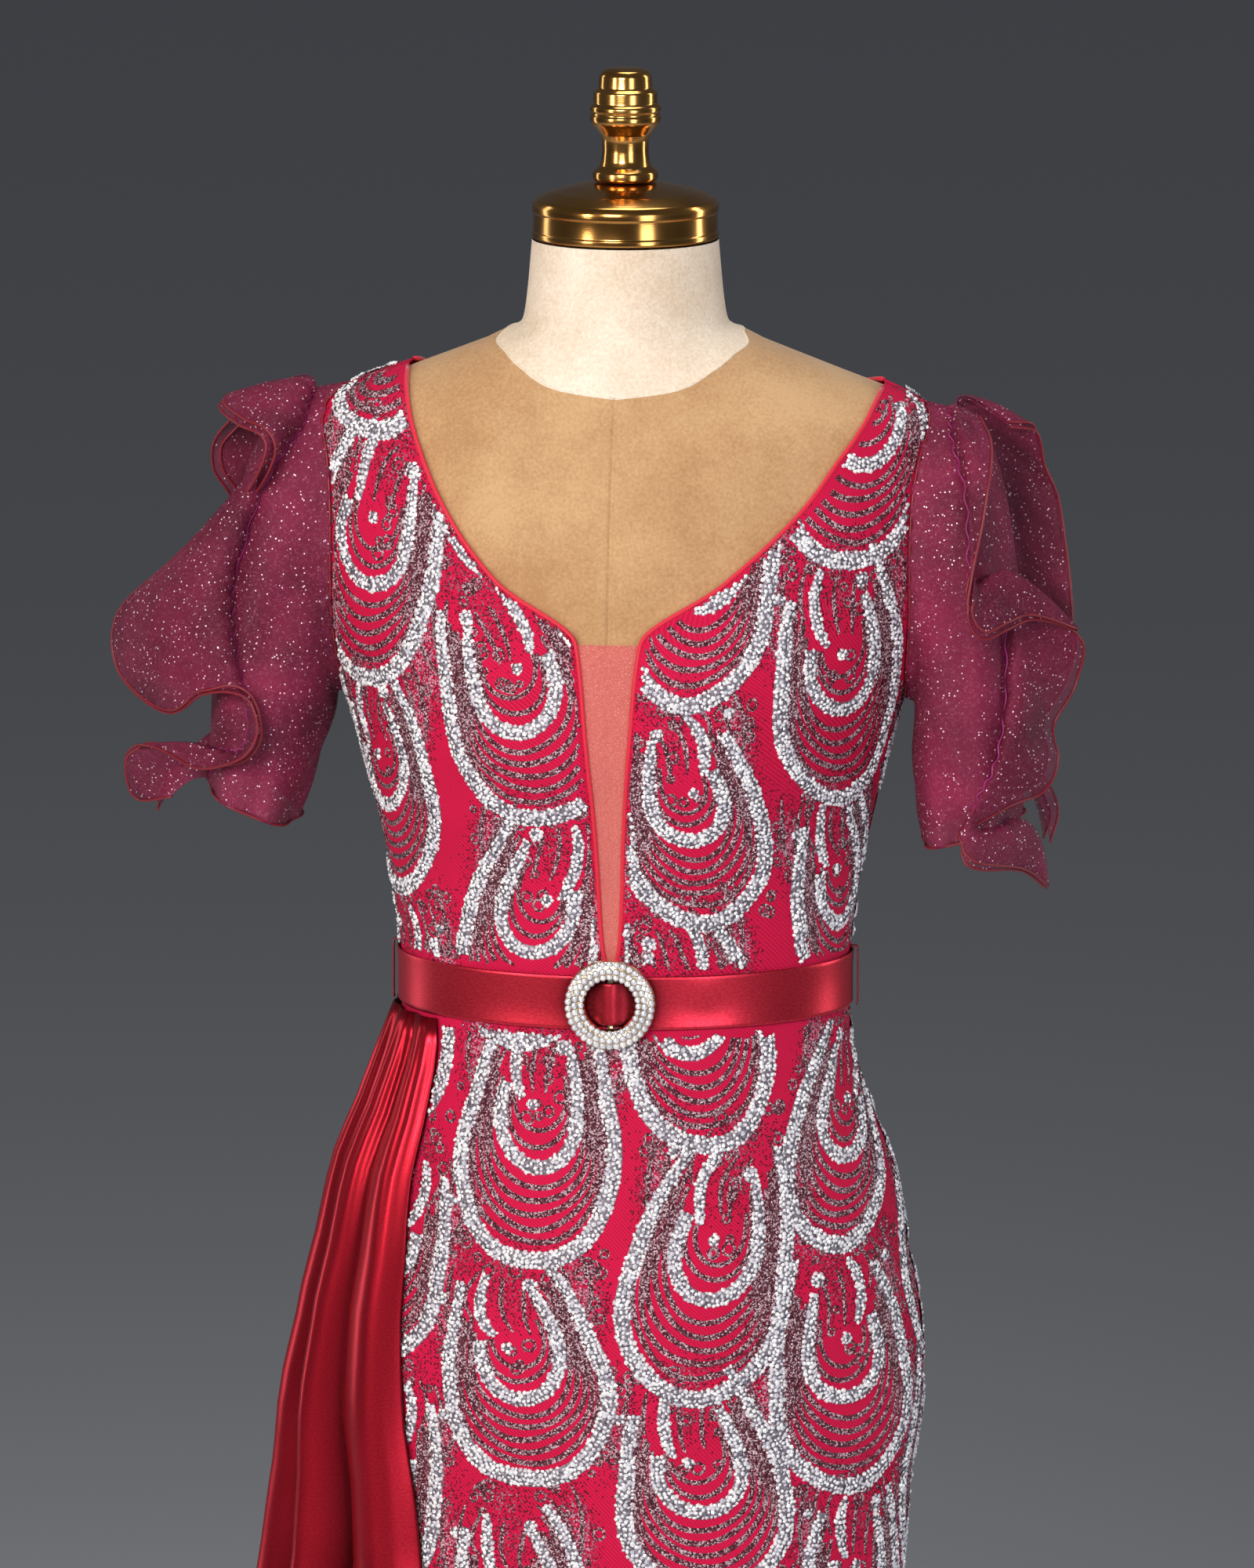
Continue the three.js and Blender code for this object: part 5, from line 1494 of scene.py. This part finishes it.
scatter_sequins = sequin_tree()
for number, (zone, tape) in enumerate(TAPES.items()):
    values = {"Seed": 11 + number}
    flakes = grown(f"{zone}_sequins", tape, scatter_sequins, values, silver_sequin)
    print(flakes.name, len(flakes.data.polygons) // 5, "sequins")

# %% [markdown]
# The buckle is a gilt ring set with three rows of stones, each in its own cup. The
# rows are short charts of radius, count and stone size; Geometry Nodes sets a cut
# stone and a cup on every place and makes them real.

# %% Stones of the buckle
STONE_ROWS = [  # name, ring radius, stones, stone radius, place to the front
    ("outer", 24.6, 38, 2.05, -106.6), ("middle", 20.8, 32, 2.05, -108.2), ("inner", 17.1, 28, 1.9, -107.2),
]


def setting_tree(kind, material):
    tree, given = new_tree(f"set_{kind}", {"Radius": 1.9}, {})
    radius = add_node(tree, MATH, {0: given.outputs["Radius"], 1: MM}, operation="MULTIPLY")
    if kind == "stone":
        shape = add_node(tree, "GeometryNodeMeshUVSphere", {
            "Segments": 8, "Rings": 5, "Radius": radius.outputs[0],
        })
        squash = (1.0, 1.0, 0.72)
    else:
        rim = add_node(tree, MATH, {0: radius.outputs[0], 1: 1.08}, operation="MULTIPLY")
        shape = add_node(tree, "GeometryNodeMeshCone", {
            "Vertices": 10, "Radius Top": rim.outputs[0], "Radius Bottom": radius.outputs[0], "Depth": 0.0018,
        }, fill_type="NGON")
        squash = (1.0, 1.0, 1.0)
    facing = add_node(tree, "GeometryNodeTransform", {
        "Geometry": shape.outputs[0], "Rotation": (QUARTER, 0, 0), "Scale": squash,
    })
    placed_on = add_node(tree, "GeometryNodeInstanceOnPoints", {
        "Points": given.outputs["Base"], "Instance": facing.outputs[0],
    })
    return close_tree(tree, placed_on, material)


trees = {"stone": setting_tree("stone", cut_glass), "cup": setting_tree("cup", gilt)}
for row, ring_radius, count, stone_radius, forward in STONE_ROWS:
    turn = full_turn(count)
    for kind, material, back in (("stone", cut_glass, -0.7), ("cup", gilt, 1.0)):
        mesh = bpy.data.meshes.new(f"{row}_places")
        across, up = ring_radius * np.sin(turn), WAIST + ring_radius * np.cos(turn)
        places = np.stack([across, np.full(count, forward + back), up], axis=-1)
        mesh.from_pydata((places * MM).tolist(), [], [])
        places_object = bpy.data.objects.new(f"{row}_places", mesh)
        values = {"Radius": stone_radius}
        grown(f"buckle_{kind}s_{row}", places_object, trees[kind], values, material)
        bpy.data.objects.remove(places_object)
    print(row, "row:", count, "stones")

# %% [markdown]
# Edges finish the gown: a narrow scarlet binding round the neck and down both sides
# of the inset, a cord where each sleeve is sewn in, a rolled hem on each sleeve, the
# closed seam at the back and a cord along the skirt's hem. Over the seam between the
# form's two velvets lies a cord too.

# %% Bindings, seams and hems
for side in ("right", "left"):
    top = SHOULDER[side]["neck"] - 1
    edges = (
        ("neck", True, np.minimum, QUARTER - 0.01, (1081, NECK_DROP, 60), (NECK_DROP + 2, top, 70)),
        ("back_neck", False, np.maximum, QUARTER + 0.01, (1330.5, 1342, 12), (1344, top, 50)),
    )
    for edge, front, limit, at_seam, low, high in edges:
        z = np.concatenate([np.linspace(*low), np.linspace(*high)])
        line = cloth_point(SIGN[side] * limit(inner_edge(side, front, z), at_seam), z, -0.6)
        tube_piece(f"{edge}_binding_{side}", line, 1.35, 8, neck_binding)
    turn = np.linspace(0.02, 2 * math.pi - 0.02, 120)
    for edge, level, grow, radius in (("seam", 0.04, 0.6, 0.9), ("hem", 6.98, 1.2, 0.85)):
        line = sleeve_point(side, level, turn, grow)
        tube_piece(f"sleeve_{edge}_{side}", line, radius, 6, corded_edge)
for name, low, high in (("bodice", 1084, 1328), ("skirt", 880, 1039)):
    line = cloth_point(np.full(60, math.pi), np.linspace(low, high, 60), 0.2)
    tube_piece(f"back_closing_{name}", line, 0.6, 6, neck_binding)
turn = np.linspace(0, 2 * math.pi, 241)
tube_piece("skirt_hem_cord", cloth_point(turn, HEM + 1.4, -0.3), 1.0, 6, neck_binding)
print("bindings and seams sewn")

# %% Seam of the form's neck
turn = np.linspace(0, 2 * math.pi, 161)
# The seam cord takes the neck's velvet, painted pale as painted light.
tube_piece("neck_seam_cord", outside(turn, neck_seam(turn), 0.5), 0.8, 6, painted_light_velvet)
print("seam cord laid round the neck")
